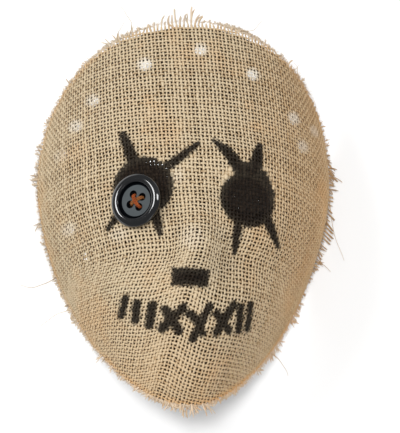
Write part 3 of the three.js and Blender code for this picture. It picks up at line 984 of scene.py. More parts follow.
def cloth_yarns(settings, warp):
    """Paths of all warps, or of all wefts, with what the sweep and the material read."""
    angle, y = draped_cloth(settings.warp_pitch, settings.weft_pitch_low, settings.weft_pitch_high)
    if not warp:
        angle, y = angle.T, y.T
    sign = 1 if warp else -1
    own_gaps, other_gaps = (DROPPED_WARPS, DROPPED_WEFTS)[::sign]
    rng = np.random.default_rng(settings.seed + (0 if warp else 1))
    crossings = angle.shape[1]

    # Two points of a yarn for each crossing, one before it and one past it
    spots = (np.arange(1, crossings - 1)[:, None] + [-QUARTER, QUARTER]).ravel()
    low = np.floor(spots).astype(int)
    share = spots - low
    angle, y = (part[:, low] * (1 - share) + part[:, low + 1] * share for part in (angle, y))
    points, normal = skin(angle, y, YARN_PLANE), skin_normal(angle, y, YARN_PLANE)
    over = (-1.0) ** (np.arange(len(angle))[:, None] + np.rint(spots).astype(int)[None, :]) * sign

    # What the cut leaves of each yarn, and where the yarns across it have dropped out
    above = points[..., 2] - edge_height(y)
    ends = rng.uniform(0.6, 1.8, (len(angle), 1)) * MM
    inside = (above > ends + dropped(own_gaps, points)) & (np.abs(angle) < 1.6)
    bare = 1 - smooth(above / np.maximum(dropped(other_gaps, points), 1e-6) - 0.1)
    paths = []
    for i in range(len(angle)):
        marks = np.flatnonzero(np.diff(np.concatenate([[0], inside[i].astype(int), [0]])))
        for start, stop in zip(marks[::2], marks[1::2]):
            if stop - start < SHORTEST_YARN:
                continue
            run = slice(start, stop)
            at, up, loose = points[i, run], normal[i, run], bare[i, run]
            x, y_here = at[:, 0], at[:, 1]
            aside = np.cross(up, unit(np.gradient(at, axis=0)))
            along = run_lengths(at)
            wobble = wandering(rng, along, (31, 13, 7), 0.19 * MM)
            wobble = wobble + rng.normal(0, 0.05 * MM, len(at))
            thick = rng.normal(1.0, 0.11) + wandering(rng, along, (23, 9, 4.5), 0.10)
            for slub in rng.uniform(0, along[-1], rng.poisson(along[-1] / SLUB_EVERY)):
                thick = thick + rng.uniform(0.15, 0.4) * np.exp(-(((along - slub) / SLUB_LENGTH) ** 2))
            wave = (1.0 if warp else 0.8) * over[i, run] * (1 - 0.6 * loose)
            lift = settings.crimp * wave + sign * WARP_PROUD
            swell = thick * (1 + clogging(x, y_here)) * (1 - 0.35 * loose)
            # Painted shade: tone also darkens each yarn where it dips under the yarns across it
            paths.append(path_of(
                at + up * lift[:, None] + aside * wobble[:, None], up, swell, len(paths), along=along,
                tone=rng.uniform(-1, 1) + 0.8 * wave + sign * 0.2, rise=wave,
                paint=paint_depth(x, y_here) / MM, pale=np.maximum(paleness(x, y_here), 0.8 * loose),
                edge=np.maximum(edge_distance(at), 8 * loose),
            ))
    return paths


@functools.cache
def burlap_material():
    """Jute yarn: mottled tan fibres with painted shade between them, orange at the cut edges, with brushed
    black marks.
    """
    weave, paint = bpy.context.scene.mask_weave, bpy.context.scene.mask_paint
    made = Finish("burlap")
    place = made.place
    labels = ("along", "number", "tone", "crest", "rise", "edge", "pale", "paint")
    along, number, tone, crest, rise, edge, pale, inside = map(made.attribute, labels)
    grain, height = made.grain(1500.0, 260.0)
    x, y = (made.value("ShaderNodeSeparateXYZ", {0: place}, axis) for axis in (0, 1))

    # Jute, from the brownest to the palest fibres, with painted light and shade
    streaks = made.value("ShaderNodeCombineXYZ", {0: along, 1: number}).noise(150.0, 3.0, 0.6)
    # Painted shade: tone also darkens the yarns where they dip under the yarns across them
    value = grain * 0.5 - 0.32 + streaks * 0.9 + place.noise(40.0) * 0.2 + tone * 0.2
    # Painted light and shade: each yarn lighter on top and darker on its sides, and the cloth darker to the
    # right
    value = value + crest.ramp(0.25, 1.0) * 0.5 - x.ramp(25 * MM, 85 * MM) * 0.16
    ramp = made.value("ShaderNodeValToRGB", {0: value})
    stops = ramp.socket.node.color_ramp.elements
    stops.new(0.5)
    for stop, jute in zip(stops, (weave.dark, weave.middle, weave.light)):
        stop.color = (*jute, 1)

    # Orange at the cut edges, on the low and far sides and in blotches, and pale places
    rim = 1.0 - edge.ramp(0.5, 12.0)
    stained = rim * (place.noise(90.0) * ((x - y).ramp(90 * MM, 165 * MM) * 1.4 + 0.8))
    warm = x.ramp(10 * MM, 90 * MM) * 0.42
    warm = warm.maths("MAXIMUM", warm, (y * -1.0).ramp(50 * MM, 120 * MM) * 0.25)
    blotches = place.noise(24.0, 3.0, 0.6).ramp(0.5, 0.72) * 0.3
    tinted = made.mixed((stained + warm + blotches).clamped(), ramp, weave.edge)
    lit = made.mixed(pale * 0.75, tinted, shade(232, 226, 214))

    # Paint, with ragged edges and worn on the yarns' tops; painted light makes it lighter on their tops
    soft = paint.softness / MM
    depth = inside + (place.noise(420.0, 3.0, 0.7) - 0.5) * 3.2 + rise * 0.35
    covered = depth.ramp(-0.65 * soft, 0.55 * soft)
    deep = inside.ramp(1.5, 5.0)
    bare = (rise.ramp(0.3, -0.8) * 0.05 + crest.ramp(0.3, 1.0) * 0.025) * (1.0 - deep)
    flecks = place.noise(1100.0, 2.0, 0.6).ramp(0.3, 0.42)
    brushed = covered * (flecks * 0.02 + 0.97 - bare + deep * 0.01)
    faded = made.mixed(deep, shade(40, 34, 28), shade(46, 35, 26))
    # Painted light: the paint lighter on the yarns' tops and darker on their sides
    stroked = made.mixed(grain * 0.3 + crest * 0.26, paint.colour, faded)
    bald = crest.ramp(0.5, 1.0) * place.noise(620.0, 2.0, 0.6).ramp(0.46, 0.62)
    stroked = made.mixed(bald * 0.14, stroked, shade(86, 72, 57))
    return made.done({
        "Base Color": made.mixed(brushed, lit, stroked), "Roughness": 0.93 - brushed * 0.18,
        "Normal": made.bump(height, 0.5, 0.4 * MM), "Specular IOR Level": 0.1, "Sheen Weight": 0.02,
        "Sheen Roughness": 0.5,
    })


class MASK_OT_cover(bpy.types.Operator):
    """Weave the burlap cover from its warp and weft yarns"""

    bl_idname = "mask.cover"
    bl_label = "Burlap cover"

    def execute(self, context):
        settings = context.scene.mask_weave
        thickness, width = settings.yarn_thickness, settings.yarn_width
        for name, warp in (("warp_yarns", True), ("weft_yarns", False)):
            thing = yarns(name, cloth_yarns(settings, warp), 5, thickness, width, burlap_material())
            own(thing, "burlap_cover")
        return {"FINISHED"}


# Frayed edge and loose fibres


def fray_at(rng, place):
    """How far a yarn's end stands out from the rim at a place, how far its plies spread, and its lean."""
    x, y = place[:2] / MM
    clumps = max(0.0, math.sin(y / 2.9) * math.sin(y / 6.7 + math.copysign(1.1, x)))
    length, spread, lean = rng.exponential(0.7) + 0.5 + 2.4 * clumps, WIDEST_SPREAD, np.zeros(3)
    if rng.random() < 0.12:
        length += rng.uniform(0.8, 2.6)
    for _, middle_x, middle_y, reach, extra, zone_spread, across, along in FRAYS:
        near = math.exp(-(((x - middle_x) / reach) ** 2) - ((y - middle_y) / reach) ** 2)
        length += (extra * rng.uniform(0.8, 1.1) - 0.7 * clumps) * near
        spread += (zone_spread - spread) * near
        lean += np.array([across, along, 0.0]) * near
    return length * MM, spread, lean


def fibre_path(points, up, swell, number, tone, pale, edge):
    """A loose unpainted fibre's path, kept above the floor past its root."""
    points[1:, 2] = np.maximum(points[1:, 2], FIBRE_GAP)
    return path_of(points, up, swell, number, tone=tone, paint=UNPAINTED, pale=pale, edge=edge)


def frayed_plies(rng, path, tip, inner, first):
    """The plies of a yarn's end past the rim, leaving it outwards and thinning to their tips."""
    root, up = path["points"][tip], path["up"][tip]
    heading = unit(root - path["points"][inner])
    reach, spread, lean = fray_at(rng, root)
    outward = unit(np.array([up[0], up[1], 0.0]) + 1e-9)
    low = 1 - smooth(root[2] / (26 * MM))
    aside = np.cross(up, heading)
    sag = rng.normal(0, 0.08 + 0.7 * spread) * aside
    combed = 1 - smooth(spread / WIDEST_SPREAD)
    dusky = smooth((root[0] - 60 * MM) / (30 * MM))
    if combed > 0.5 and rng.random() < 0.25:
        reach *= 0.3
    plies = []
    for ply in range(3 if reach > 1.4 * MM and combed < 0.5 else 2):
        length = reach * rng.uniform(0.7 + 0.2 * combed, 1.15) + PLY_ROOT
        offset = (aside * rng.uniform(-1, 1) + up * rng.uniform(-0.6, 0.7)) * (0.06 + 0.5 * spread) * MM
        sway = (aside * rng.normal(0, spread) + up * rng.normal(0, 0.6 * spread)) * (1 - 0.5 * combed)
        points = [root - heading * PLY_ROOT + offset * 0.6]
        for share in np.linspace(0, 1, len(PLY_TAPER))[1:]:
            turn = (0.2 + 0.7 * low) * share**0.5
            drawn = (sway + sag + lean) * share * (1 + share)
            way = unit(heading * (1 - turn) + outward * (turn + 0.2) + drawn)
            points.append(points[-1] + way * length / (len(PLY_TAPER) - 1))
        taper = np.array(PLY_TAPER) * (1 - 0.8 * dusky * combed)
        swell = rng.uniform(0.85, 1.35) * (1.1 - taper + (0.45 + 0.7 * dusky) * combed)
        tone = path["tone"][0] + rng.normal(0, 0.5) - 0.7 * dusky
        pale = rng.uniform(0.2, 0.65) * (1 - 0.8 * dusky)
        edge = rng.uniform(2, 9) + 5 * dusky
        plies.append(fibre_path(np.array(points), up, swell, first + ply, tone, pale, edge))
    return plies


def rim_points(inset, above, number):
    """Points round the rim of a skin, from the forehead's end by the left side to the chin and back."""
    top, bottom = end_station(1, inset, above), end_station(-1, inset, above)
    y = stations(top, bottom, np.linspace(0, math.pi, number))
    angle = angle_at_height(y, edge_height(y) + above, inset)
    angle[0] = angle[-1] = 0.0
    return np.concatenate([-angle, angle[-2:0:-1]]), np.concatenate([y, y[-2:0:-1]])


def outward_from(ahead, up):
    """Directions away from the rim, downwards."""
    away = np.cross(ahead, up)
    return away * np.sign((away[:, 2] <= 0) - 0.5)[:, None]


def rim_loops(rng, number):
    """Crimped lengths of yarn that have come loose along the rim."""
    angle, y = rim_points(YARN_PLANE, 1.0 * MM, 700)
    rim, normal = skin(angle, y, YARN_PLANE), skin_normal(angle, y, YARN_PLANE)
    around = run_lengths(rim)
    paths = []
    while len(paths) < number:
        length = rng.uniform(7, 26) * MM
        start = rng.uniform(0, around[-1] - length)
        middle = sampled(start + length / 2, around, rim)[:2]
        tangle = float(closeness(TANGLES, *middle))
        if rng.random() > 0.35 + tangle - 2 * float(closeness(LOOPLESS, *middle)):
            continue
        along = np.arange(0, length, 0.45 * MM)
        at, up = (sampled(start + along, around, line) for line in (rim, normal))
        up = unit(up)
        ahead = unit(np.gradient(at, axis=0))
        away = outward_from(ahead, up)
        pitch = rng.uniform(2.2, 4.2) * MM
        phase = rng.uniform(0, 2 * math.pi)
        wave = np.sin(2 * math.pi * along / pitch + phase)
        curl = np.cos(2 * math.pi * along / pitch + phase) * rng.uniform(0.1, 0.9) * MM
        arch = np.sin(math.pi * along / length) ** 0.5
        out = arch * (rng.uniform(0.2, 1.0) + rng.uniform(0.3, 0.8) * wave) * (1 + 1.6 * tangle) * MM
        points = at + away * out[:, None] + up * (0.5 * MM * np.cos(3.1 * along / pitch + phase))[:, None]
        points += ahead * curl[:, None]
        points[0, 2] = max(points[0, 2], FIBRE_GAP)
        swell = rng.uniform(0.7, 1.25) * np.clip(6 * np.minimum(along, length - along) / length + 0.3, 0, 1)
        tone, pale = rng.normal(0.2, 0.5), rng.uniform(0.2, 0.7)
        paths.append(fibre_path(points, up, swell, len(paths), tone, pale, rng.uniform(3, 10)))
    return paths


def stray_paths(rng):
    """Paths of the single loose fibres."""
    paths = []
    shares = np.linspace(0, 1, 14)
    for number, (_, x, y, tip_x, tip_y, rise, bow) in enumerate(STRAYS):
        last = float(angle_at_height(y * MM, edge_height(y * MM) + 1 * MM, 0.0))
        root = skin(np.clip(float(angle_at(x * MM, y * MM, 0.0)), -last, last), y * MM, 0.0)
        tip = np.array([tip_x * MM, tip_y * MM, max(root[2] + rise * MM, 1 * MM)])
        aside = unit(np.cross(tip - root, [0, 0, 1]))
        curl = 0.25 * np.sin(3 * math.pi * shares + rng.uniform(0, 6)) * shares
        bend = aside * ((np.sin(math.pi * shares) + curl) * bow * MM)[:, None]
        points = root + (tip - root) * shares[:, None] + bend
        paths.append(fibre_path(points, (0.0, 0.0, 1.0), 1 - 0.6 * shares, number, -0.8, 0.0, 12.0))
    return paths


def lifted(thing):
    """Eases the lowest fibres up, so that they end above the floor."""
    points = np.zeros(3 * len(thing.data.vertices))
    thing.data.vertices.foreach_get("co", points)
    z = points[2::3]
    low, knee, gap = z.min(), 4 * MM, 0.3 * MM
    if low < gap:
        z[z < knee] = gap + (z[z < knee] - low) * (knee - gap) / (knee - low)
        thing.data.vertices.foreach_set("co", points)
    return thing


def fibre_bed(name, points, faces, depth, pale):
    """A surface to strew fibres on, with what their material reads."""
    thing = mesh_object(name, points, faces)
    for label, value in (("paint", depth), ("pale", pale), ("edge", 7.0)):
        set_attribute(thing, label, np.broadcast_to(value, len(points)))
    return thing


def rim_band():
    """A narrow band of faces round the rim, facing outwards, to strew fibres on."""
    angle, y = rim_points(0.0, 1.2 * MM, 90)
    middle, normal = skin(angle, y, 0.0), skin_normal(angle, y, 0.0)
    ahead = unit(np.roll(middle, -1, 0) - np.roll(middle, 1, 0))
    facing = unit(normal * [1, 1, 0] + outward_from(ahead, normal) * 0.7)
    across = unit(np.cross(ahead, facing)) * 0.7 * MM
    number = len(middle)
    points = np.concatenate([middle - across, middle + across])
    faces = [(i, (i + 1) % number, number + (i + 1) % number, number + i) for i in range(number)]
    # The fuzz is pale cream, and paler still as painted light for light shining through its thin fibres
    thing = fibre_bed("rim_band", points, faces, UNPAINTED, 0.55)
    if thing.data.polygons[0].normal.dot(Vector(facing[0])) < 0:
        thing.data.flip_normals()
    return thing


def skin_sheet(rows, columns):
    """The cloth's outside as an open sheet, facing out."""
    y = stations(end_station(1, 0.0), end_station(-1, 0.0), np.linspace(0.06, math.pi - 0.06, rows))
    reach = angle_at_height(y, edge_height(y) + 2 * MM, 0.0)
    shares = np.linspace(-1, 1, columns)
    points = skin(reach[:, None] * shares[None, :], y[:, None], 0.0).reshape(-1, 3)
    corners = [i * columns + j for i in range(rows - 1) for j in range(columns - 1)]
    faces = [(k, k + columns, k + columns + 1, k + 1) for k in corners]
    return fibre_bed("skin_sheet", points, faces, paint_depth(points[:, 0], points[:, 1]) / MM, 0.4)


class MASK_OT_fray(bpy.types.Operator):
    """Fray the yarns' ends at the rim and strew loose fibres over the cloth"""

    bl_idname = "mask.fray"
    bl_label = "Frayed edge and fibres"

    def execute(self, context):
        settings = context.scene.mask_weave
        rng = np.random.default_rng(settings.seed + 20)
        material = burlap_material()
        ends = []
        for warp in (True, False):
            for path in cloth_yarns(settings, warp):
                for tip, inner in ((0, 1), (-1, -2)):
                    ends += frayed_plies(rng, path, tip, inner, len(ends))
        pieces = [lifted(yarns(*loose, material)) for loose in (
            ("frayed_ends", ends, 4, 0.5 * MM, 0.62 * MM),
            ("rim_loops", rim_loops(rng, 160), 4, 0.5 * MM, 0.6 * MM),
            ("stray_fibres", stray_paths(rng), 4, 0.28 * MM, 0.36 * MM),
        )]
        pieces.append(lifted(grown(
            "rim_fuzz", rim_band(), "strewn fibres", Density=3.4e6, Length=2.6 * MM, Thickness=0.065 * MM,
            Least_lean=0.0, Most_lean=1.35, Seed=3, Material=material,
        )))
        pieces.append(grown(
            "cloth_fuzz", skin_sheet(40, 36), "strewn fibres", Density=60000.0, Length=2.2 * MM,
            Thickness=0.045 * MM, Least_lean=0.9, Most_lean=1.5, Seed=11, Material=material,
        ))
        for thing in pieces:
            own(thing)
        return {"FINISHED"}


# The moulded shell


def shell_solid(settings):
    """The shell as one closed skin with a rounded rim, before its openings are punched."""
    rows, columns = settings.rows, settings.columns
    outer = CLOTH + CLEARANCE
    turns = np.linspace(0, math.pi, rows + 1)[1:-1]
    points, faces, layers = [], [], []

    # Layers from the outer face round the rim to the inner face; those between them are only a rim
    for bend in np.linspace(0, math.pi, RIM_LAYERS):
        inset = outer + SHELL / 2 - math.cos(bend) * SHELL / 2
        above = SHELL / 2 * (1 - math.sin(bend))
        top, bottom = end_station(1, inset, above + SHELL_SHORT), end_station(-1, inset, above)
        y = stations(top, bottom, turns)
        short = SHELL_SHORT * smooth((y - SHELL_SHORT_FROM) / SHELL_SHORT_OVER)
        reach = angle_at_height(y, edge_height(y) + above + short, inset)
        wide = 2 if 0 < len(layers) < RIM_LAYERS - 1 else columns + 1
        layers.append((len(points), wide))
        grid = skin(reach[:, None] * np.linspace(-1, 1, wide)[None, :], y[:, None], inset)
        points += [*grid.reshape(-1, 3), skin(0.0, top, inset), skin(0.0, bottom, inset)]
    for (first, wide), way in ((layers[0], 1), (layers[-1], -1)):
        top = first + (rows - 1) * wide
        last = top - wide
        for a in range(first, first + wide - 1):
            faces += [(top, a, a + 1)[::way], (top + 1, last + a - first + 1, last + a - first)[::way]]
            faces += [(k, k + wide, k + wide + 1, k + 1)[::way] for k in range(a, last + a - first, wide)]

    # Rings round the rim of each layer, joined from one to the next
    rims = []
    for first, wide in layers:
        top = first + (rows - 1) * wide
        left = range(first, top, wide)
        rims.append([top, *left, top + 1, *(k + wide - 1 for k in reversed(left))])
    for a, b in zip(rims, rims[1:]):
        faces += [(a[k - 1], b[k - 1], b[k], a[k]) for k in range(len(a))]
    return mesh_object("shell_solid", points, faces)


def seat_at(x, y, radius):
    """The cloth's point and outward normal at a place, averaged over a radius."""
    across = (skin_height(x + radius, y) - skin_height(x - radius, y)) / (2 * radius)
    along = (skin_height(x, y + radius) - skin_height(x, y - radius)) / (2 * radius)
    return Vector((x, y, float(skin_height(x, y)))), Vector((-across, -along, 1)).normalized()


def turned_solid(name, profile, steps):
    """A profile of radius and height, from axis to axis, turned round Z."""
    rings, around = len(profile) - 2, range(steps)
    turns = np.linspace(0, 2 * math.pi, steps, endpoint=False)
    points = [(r * math.cos(a), r * math.sin(a), height) for r, height in profile[1:-1] for a in turns]
    low, high, last = len(points), len(points) + 1, (rings - 1) * steps
    points += [(0, 0, profile[0][1]), (0, 0, profile[-1][1])]
    faces = []
    for a in range(0, last, steps):
        faces += [(a + i, a + (i + 1) % steps, a + (i + 1) % steps + steps, a + i + steps) for i in around]
    for i in around:
        faces += [(low, (i + 1) % steps, i), (high, last + i, last + (i + 1) % steps)]
    return mesh_object(name, points, faces)


def plastic_material():
    """Moulded plastic: dark brown, faintly mottled and dusty."""
    colour = bpy.context.scene.mask_shell.colour
    made = Finish("moulded_plastic")
    grain, height = made.grain(700.0, 28.0)
    body = made.mixed(grain, colour, scaled(colour, 1.4))
    return made.done({
        "Base Color": made.mixed(made.dust(800.0, 0.62) * 0.04, body, shade(140, 120, 92)),
        "Roughness": grain * 0.16 + 0.52, "Specular IOR Level": 0.08,
        "Normal": made.bump(height, 0.12, 0.3 * MM),
    })


class MASK_OT_shell(bpy.types.Operator):
    """Mould the face shell and punch its eye and vent openings"""

    bl_idname = "mask.shell"
    bl_label = "Face shell"

    def execute(self, context):
        openings = [(side * EYE_X, EYE_Y, EYE_HALF_WIDTH, EYE_HALF_HEIGHT) for side in (1, -1)]
        openings += [(x * MM, y * MM, VENT_RADIUS, VENT_RADIUS) for x, y, _ in VENTS]
        points, normals = zip(*(seat_at(x, y, high) for x, y, _, high in openings))
        sizes = [(wide, high, 1.0) for _, _, wide, high in openings]
        reach = CUTTER_DEPTH / 2
        cutter = turned_solid("round_cutter", [(0, -reach), (1, -reach), (1, reach), (0, reach)], 40)
        blank = shell_solid(context.scene.mask_shell)
        shell = drilled("face_shell", blank, points, sizes, normals, cutter, plastic_material())
        shell.data.set_sharp_from_angle(angle=math.radians(40))
        own(shell, "shell")
        return {"FINISHED"}


# The button


def button_seat():
    """Where the button sits: leaned out and down from the cloth's slope, and clear of the cloth."""
    point, normal = seat_at(BUTTON_X, BUTTON_Y, BUTTON_RADIUS * 0.8)
    normal = Quaternion((1, 0, 0), LEAN_DOWN) @ Quaternion((0, 1, 0), -LEAN_OUT) @ normal
    turn = Vector((0, 0, 1)).rotation_difference(normal)
    lift = -1.0
    for reach in np.linspace(0, BUTTON_RADIUS - 2 * MM, 9):
        for angle in np.linspace(0, 2 * math.pi, 36, endpoint=False):
            spot = turn @ Vector((math.cos(angle) * reach, math.sin(angle) * reach, 0)) + point
            lift = max(lift, (float(skin_height(spot.x, spot.y)) - spot.z) * normal.z)
    return Matrix.Translation(point + normal * (lift + SEAT_CLEAR)) @ turn.to_matrix().to_4x4()


def hole_places():
    """Places of the four holes around the button's middle."""
    half, c, s = HOLE_PITCH / 2, math.cos(HOLE_TURN), math.sin(HOLE_TURN)
    corners = ((half, half), (-half, half), (-half, -half), (half, -half))
    return [(x * c - y * s, x * s + y * c) for x, y in corners]


def rounded(corners, steps=5):
    """A line through corners, each given with the radius that rounds it."""
    line = [Vector(corners[0][:2])]
    for before, here, after in zip(corners, corners[1:], corners[2:]):
        corner = Vector(here[:2])
        into, away = Vector(before[:2]) - corner, Vector(after[:2]) - corner
        reach = min(here[2], 0.48 * into.length, 0.48 * away.length)
        start, stop = corner + into.normalized() * reach, corner + away.normalized() * reach
        for k in range(steps + 1):
            t = k / steps
            line.append(start * (1 - t) ** 2 + corner * 2 * t * (1 - t) + stop * t**2)
    line.append(Vector(corners[-1][:2]))
    return line


def button_profile():
    """Rounded side, gently arched rim, and a flat face in a well, from radius, height and rounding in mm."""
    r, h, face = (size / MM for size in (BUTTON_RADIUS, BUTTON_THICKNESS, BUTTON_FACE))
    bend, half, middle = 4.2, 0.33, r - 3.35
    turns = np.linspace(half, -half, 9)
    arch = [(middle + bend * math.sin(a), h - bend * (1 - math.cos(a))) for a in turns]
    side = [
        (0, 0, 0), (r - 3.4, 0, 2), (r - 1.2, 0.9, 2), (r - 0.15, 2.2, 2), (r, 3.0, 2),
        (r - 0.45, h - 1.05, 0.25), (r - 1.45, h - 0.4, 0.25), (*arch[0], 0),
    ]
    well = [
        (*arch[-1], 0), (r - 5.2, h - 0.4, 1), (r - 5.6, h - 2.5, 1), (r - 5.8, face - 0.6, 0.5),
        (r - 6.5, face - 0.6, 0.4), (r - 6.9, face, 0.3), (0, face, 0),
    ]
    line = [*rounded(side)[:-1], *(Vector(p) for p in arch), *rounded(well)[1:]]
    return [p * MM for p in line]


def drill_profile():
    """A round drill that eases the hole's upper edge."""
    flare = 0.45 * MM
    wide, top = HOLE_RADIUS + 1.6 * flare, BUTTON_FACE + 0.25 * flare
    eased = (HOLE_RADIUS, BUTTON_FACE - flare, 1.2 * flare)
    return rounded([(0, -2 * MM, 0), (HOLE_RADIUS, -2 * MM, 0), eased, (wide, top, 0), (0, top, 0)])


def button_material():
    """Polished horn-like plastic, blue black, with faint streaks and a little dust."""
    colour = bpy.context.scene.mask_button.body
    made = Finish("button_gloss")
    body = made.mixed(made.place.noise(120.0, 3.0, 0.6), colour, scaled(colour, 0.55))
    dust = made.dust(1500.0, 0.66)
    return made.done({
        "Base Color": made.mixed(dust * 0.12, body, shade(170, 172, 176)), "Roughness": dust * 0.15 + 0.1,
        "Specular IOR Level": 0.2, "Coat Weight": 1.0, "Coat Roughness": 0.05,
    })


def matt_material(name, colour):
    """A sanded part of the button: evenly worn."""
    made = Finish(name)
    grain, _ = made.grain(2400.0, 240.0)
    return made.done({
        "Base Color": made.mixed(grain, scaled(colour, 0.86), colour), "Roughness": grain * 0.1 + 0.8,
        "Specular IOR Level": 0.02,
    })


class MASK_OT_button(bpy.types.Operator):
    """Turn the coat button and drill its four holes"""

    bl_idname = "mask.button"
    bl_label = "Button"

    def execute(self, context):
        settings = context.scene.mask_button
        blank = turned_solid("button_blank", button_profile(), settings.steps)
        drill = turned_solid("drill", drill_profile(), 32)
        holes = [(x, y, 0) for x, y in hole_places()]
        sizes, axes = [(1, 1, 1)] * 4, [(0, 0, 1)] * 4
        button = drilled("coat_button", blank, holes, sizes, axes, drill, button_material())
        button.data.materials.append(matt_material("button_face", settings.face))
        button.data.materials.append(matt_material("button_well", settings.body))
        disc, well = BUTTON_RADIUS - 6.8 * MM, BUTTON_RADIUS - 5.4 * MM
        for face in button.data.polygons:
            away, height = face.center.xy.length, face.center.z
            if height > BUTTON_FACE - 0.05 * MM and away < disc and face.normal.z > 0.9:
                face.material_index = 1
            elif away < well and height > 1 * MM:
                face.material_index = 2
        button.data.set_sharp_from_angle(angle=math.radians(50))
        button.data.transform(button_seat())
        own(button, "button")
        return {"FINISHED"}


def thread_material():
    """Rust orange sewing thread, with painted shade in the creases between plies and a painted sheen that
    makes the stitch below paler.
    """
    settings = bpy.context.scene.mask_button
    made = Finish("rust_thread")
    grain, height = made.grain(3200.0, 300.0)
    upper = made.attribute("number").ramp(5.2, 5.8)
    dyed = made.mixed(upper, settings.thread_below, settings.thread)
    # Painted shade: the plies darker in the creases between them
    crease_shade = made.mixed(1.0, dyed, (0.3, 0.3, 0.3), "MULTIPLY")
    return made.done({
        "Base Color": made.mixed(grain * made.attribute("crest").ramp(-0.6, 0.9), crease_shade, dyed),
        "Normal": made.bump(height, 0.4, 0.2 * MM), "Roughness": 0.7, "Specular IOR Level": 0.15,
        "Sheen Weight": 0.03,
    })


def catmull_rom(points, steps):
    """A centripetal curve through points, as evenly spaced points."""
    points = np.asarray(points, float)
    padded = np.concatenate([[2 * points[0] - points[1]], points, [2 * points[-1] - points[-2]]])
    fine = []
    for a, b, c, d in zip(padded, padded[1:], padded[2:], padded[3:]):
        before, here, after = (
            max(np.linalg.norm(q - p) ** 0.5, 1e-6) for p, q in ((a, b), (b, c), (c, d))
        )
        out = ((b - a) / before - (c - a) / (before + here) + (c - b) / here) * here
        into = ((c - b) / here - (d - b) / (here + after) + (d - c) / after) * here
        t = np.linspace(0, 1, 24, endpoint=False)[:, None]
        start, stop = (2 * t**3 - 3 * t**2 + 1) * b, (-2 * t**3 + 3 * t**2) * c
        fine.append(start + (t**3 - 2 * t**2 + t) * out + stop + (t**3 - t**2) * into)
    fine = np.concatenate([*fine, [points[-1]]])
    along = run_lengths(fine)
    return sampled(np.linspace(0, along[-1], steps + 1), along, fine)


def carried_frames(points, first):
    """A sideways direction at each point of a line, carried along it without twisting."""
    ahead = unit(np.gradient(points, axis=0))
    first = np.asarray(first, float)
    aside = [unit(first - ahead[0] * (ahead[0] @ first))]
    for before, here in zip(ahead, ahead[1:]):
        turn = Vector(before).rotation_difference(Vector(here))
        moved = np.array(turn @ Vector(aside[-1]))
        aside.append(unit(moved - here * (here @ moved)))
    return ahead, np.array(aside)


def stitch_paths(settings, seat):
    """The plies of the crossing stitches, three passes of a two-ply thread to each."""
    holes = np.array(hole_places())
    paths = []
    for order, (start, end) in enumerate(((holes[0], holes[2]), (holes[1], holes[3]))):
        side = unit(np.array([start[1] - end[1], end[0] - start[0]]))
        for lane, rise in ((-1, 0.0), (0, 0.35), (1, 0.1)):
            top = BUTTON_FACE + settings.ply + (rise + 0.75 * order) * MM
            half = [
                (0.97, 0.6, 0.3 * MM), (0.96, 0.7, BUTTON_FACE - 0.8 * MM), (0.84, 0.9, top - 0.35 * MM),
                (0.5, 1.0, top + 0.4 * MM),
            ]
            corners = []
            for share, pull, z in half + [(1 - share, pull, z) for share, pull, z in half[-2::-1]]:
                x, y = start * share + end * (1 - share) + side * lane * 0.7 * MM * pull
                corners.append((x, y, z))
            line = catmull_rom(corners, 64)
            ahead, aside = carried_frames(line, (0.3, 1, 0))
            across = np.cross(ahead, aside)
            along = run_lengths(line)
            for phase in (0, math.pi):
                turn = 2 * math.pi * along / settings.twist + phase + lane
                off = aside * np.cos(turn)[:, None] + across * np.sin(turn)[:, None]
                points = np.array([seat @ Vector(p) for p in line + off * settings.ply * 0.46])
                up = np.array([seat.to_3x3() @ Vector(o) for o in off])
                paths.append(path_of(points, up, 1.0, len(paths), along=along))
    return paths


class MASK_OT_thread(bpy.types.Operator):
    """Sew the button on with crossing stitches of twisted thread"""

    bl_idname = "mask.thread"
    bl_label = "Button thread"

    def execute(self, context):
        settings = context.scene.mask_button
        paths = stitch_paths(settings, button_seat())
        thread = yarns("sewing_thread", paths, 8, settings.ply, settings.ply, thread_material())
        own(thread, "button_thread")
        return {"FINISHED"}


# The elastic band


def band_route():
    """The band's middle line: up the inside of one edge, over the surface in a slack bow, up the other."""
    inset = CLOTH + CLEARANCE + SHELL + BAND_TAB_GAP + BAND_THICKNESS / 2
    narrow_side = BAND_TAB_Y - BAND_WIDTH / 2

    def wall(z):
        return float(skin(angle_at_height(narrow_side, z, inset), narrow_side, inset)[0])

    floor = BAND_THICKNESS / 2 + BAND_TAB_GAP
    turn_top = floor + BAND_TAB_TURN
    turn_x = wall(turn_top) - BAND_TAB_TURN
    half = [(wall(z), BAND_TAB_Y, z) for z in (BAND_TAB_HIGH, (BAND_TAB_HIGH + turn_top) / 2)]
    for angle in np.linspace(0, math.pi / 2, BAND_TURN_STEPS + 1):
        across, down = BAND_TAB_TURN * math.cos(angle), BAND_TAB_TURN * math.sin(angle)
        half.append((turn_x + across, BAND_TAB_Y, turn_top - down))
    half += [(x * MM, y * MM, floor) for x, y in BAND_ROUTE]
    return [(-x, y, z) for x, y, z in half[:-1]] + half[::-1]


def band_profile(ribs):
    """The band's outline, one wide and one thick: a rounded rib over each rubber cord, above and below."""
    per_rib = 4
    edge = []
    for k in range(ribs * per_rib + 1):
        across = k / (ribs * per_rib) - 0.5
        height = 0.5 * (0.72 + 0.28 * abs(math.sin(math.pi * k / per_rib)))
        edge.append((height * min(1.0, (0.5 - abs(across)) / 0.03 + 0.35), across))
    return outline_object("band_outline", edge + [(-x, y) for x, y in edge[::-1]])


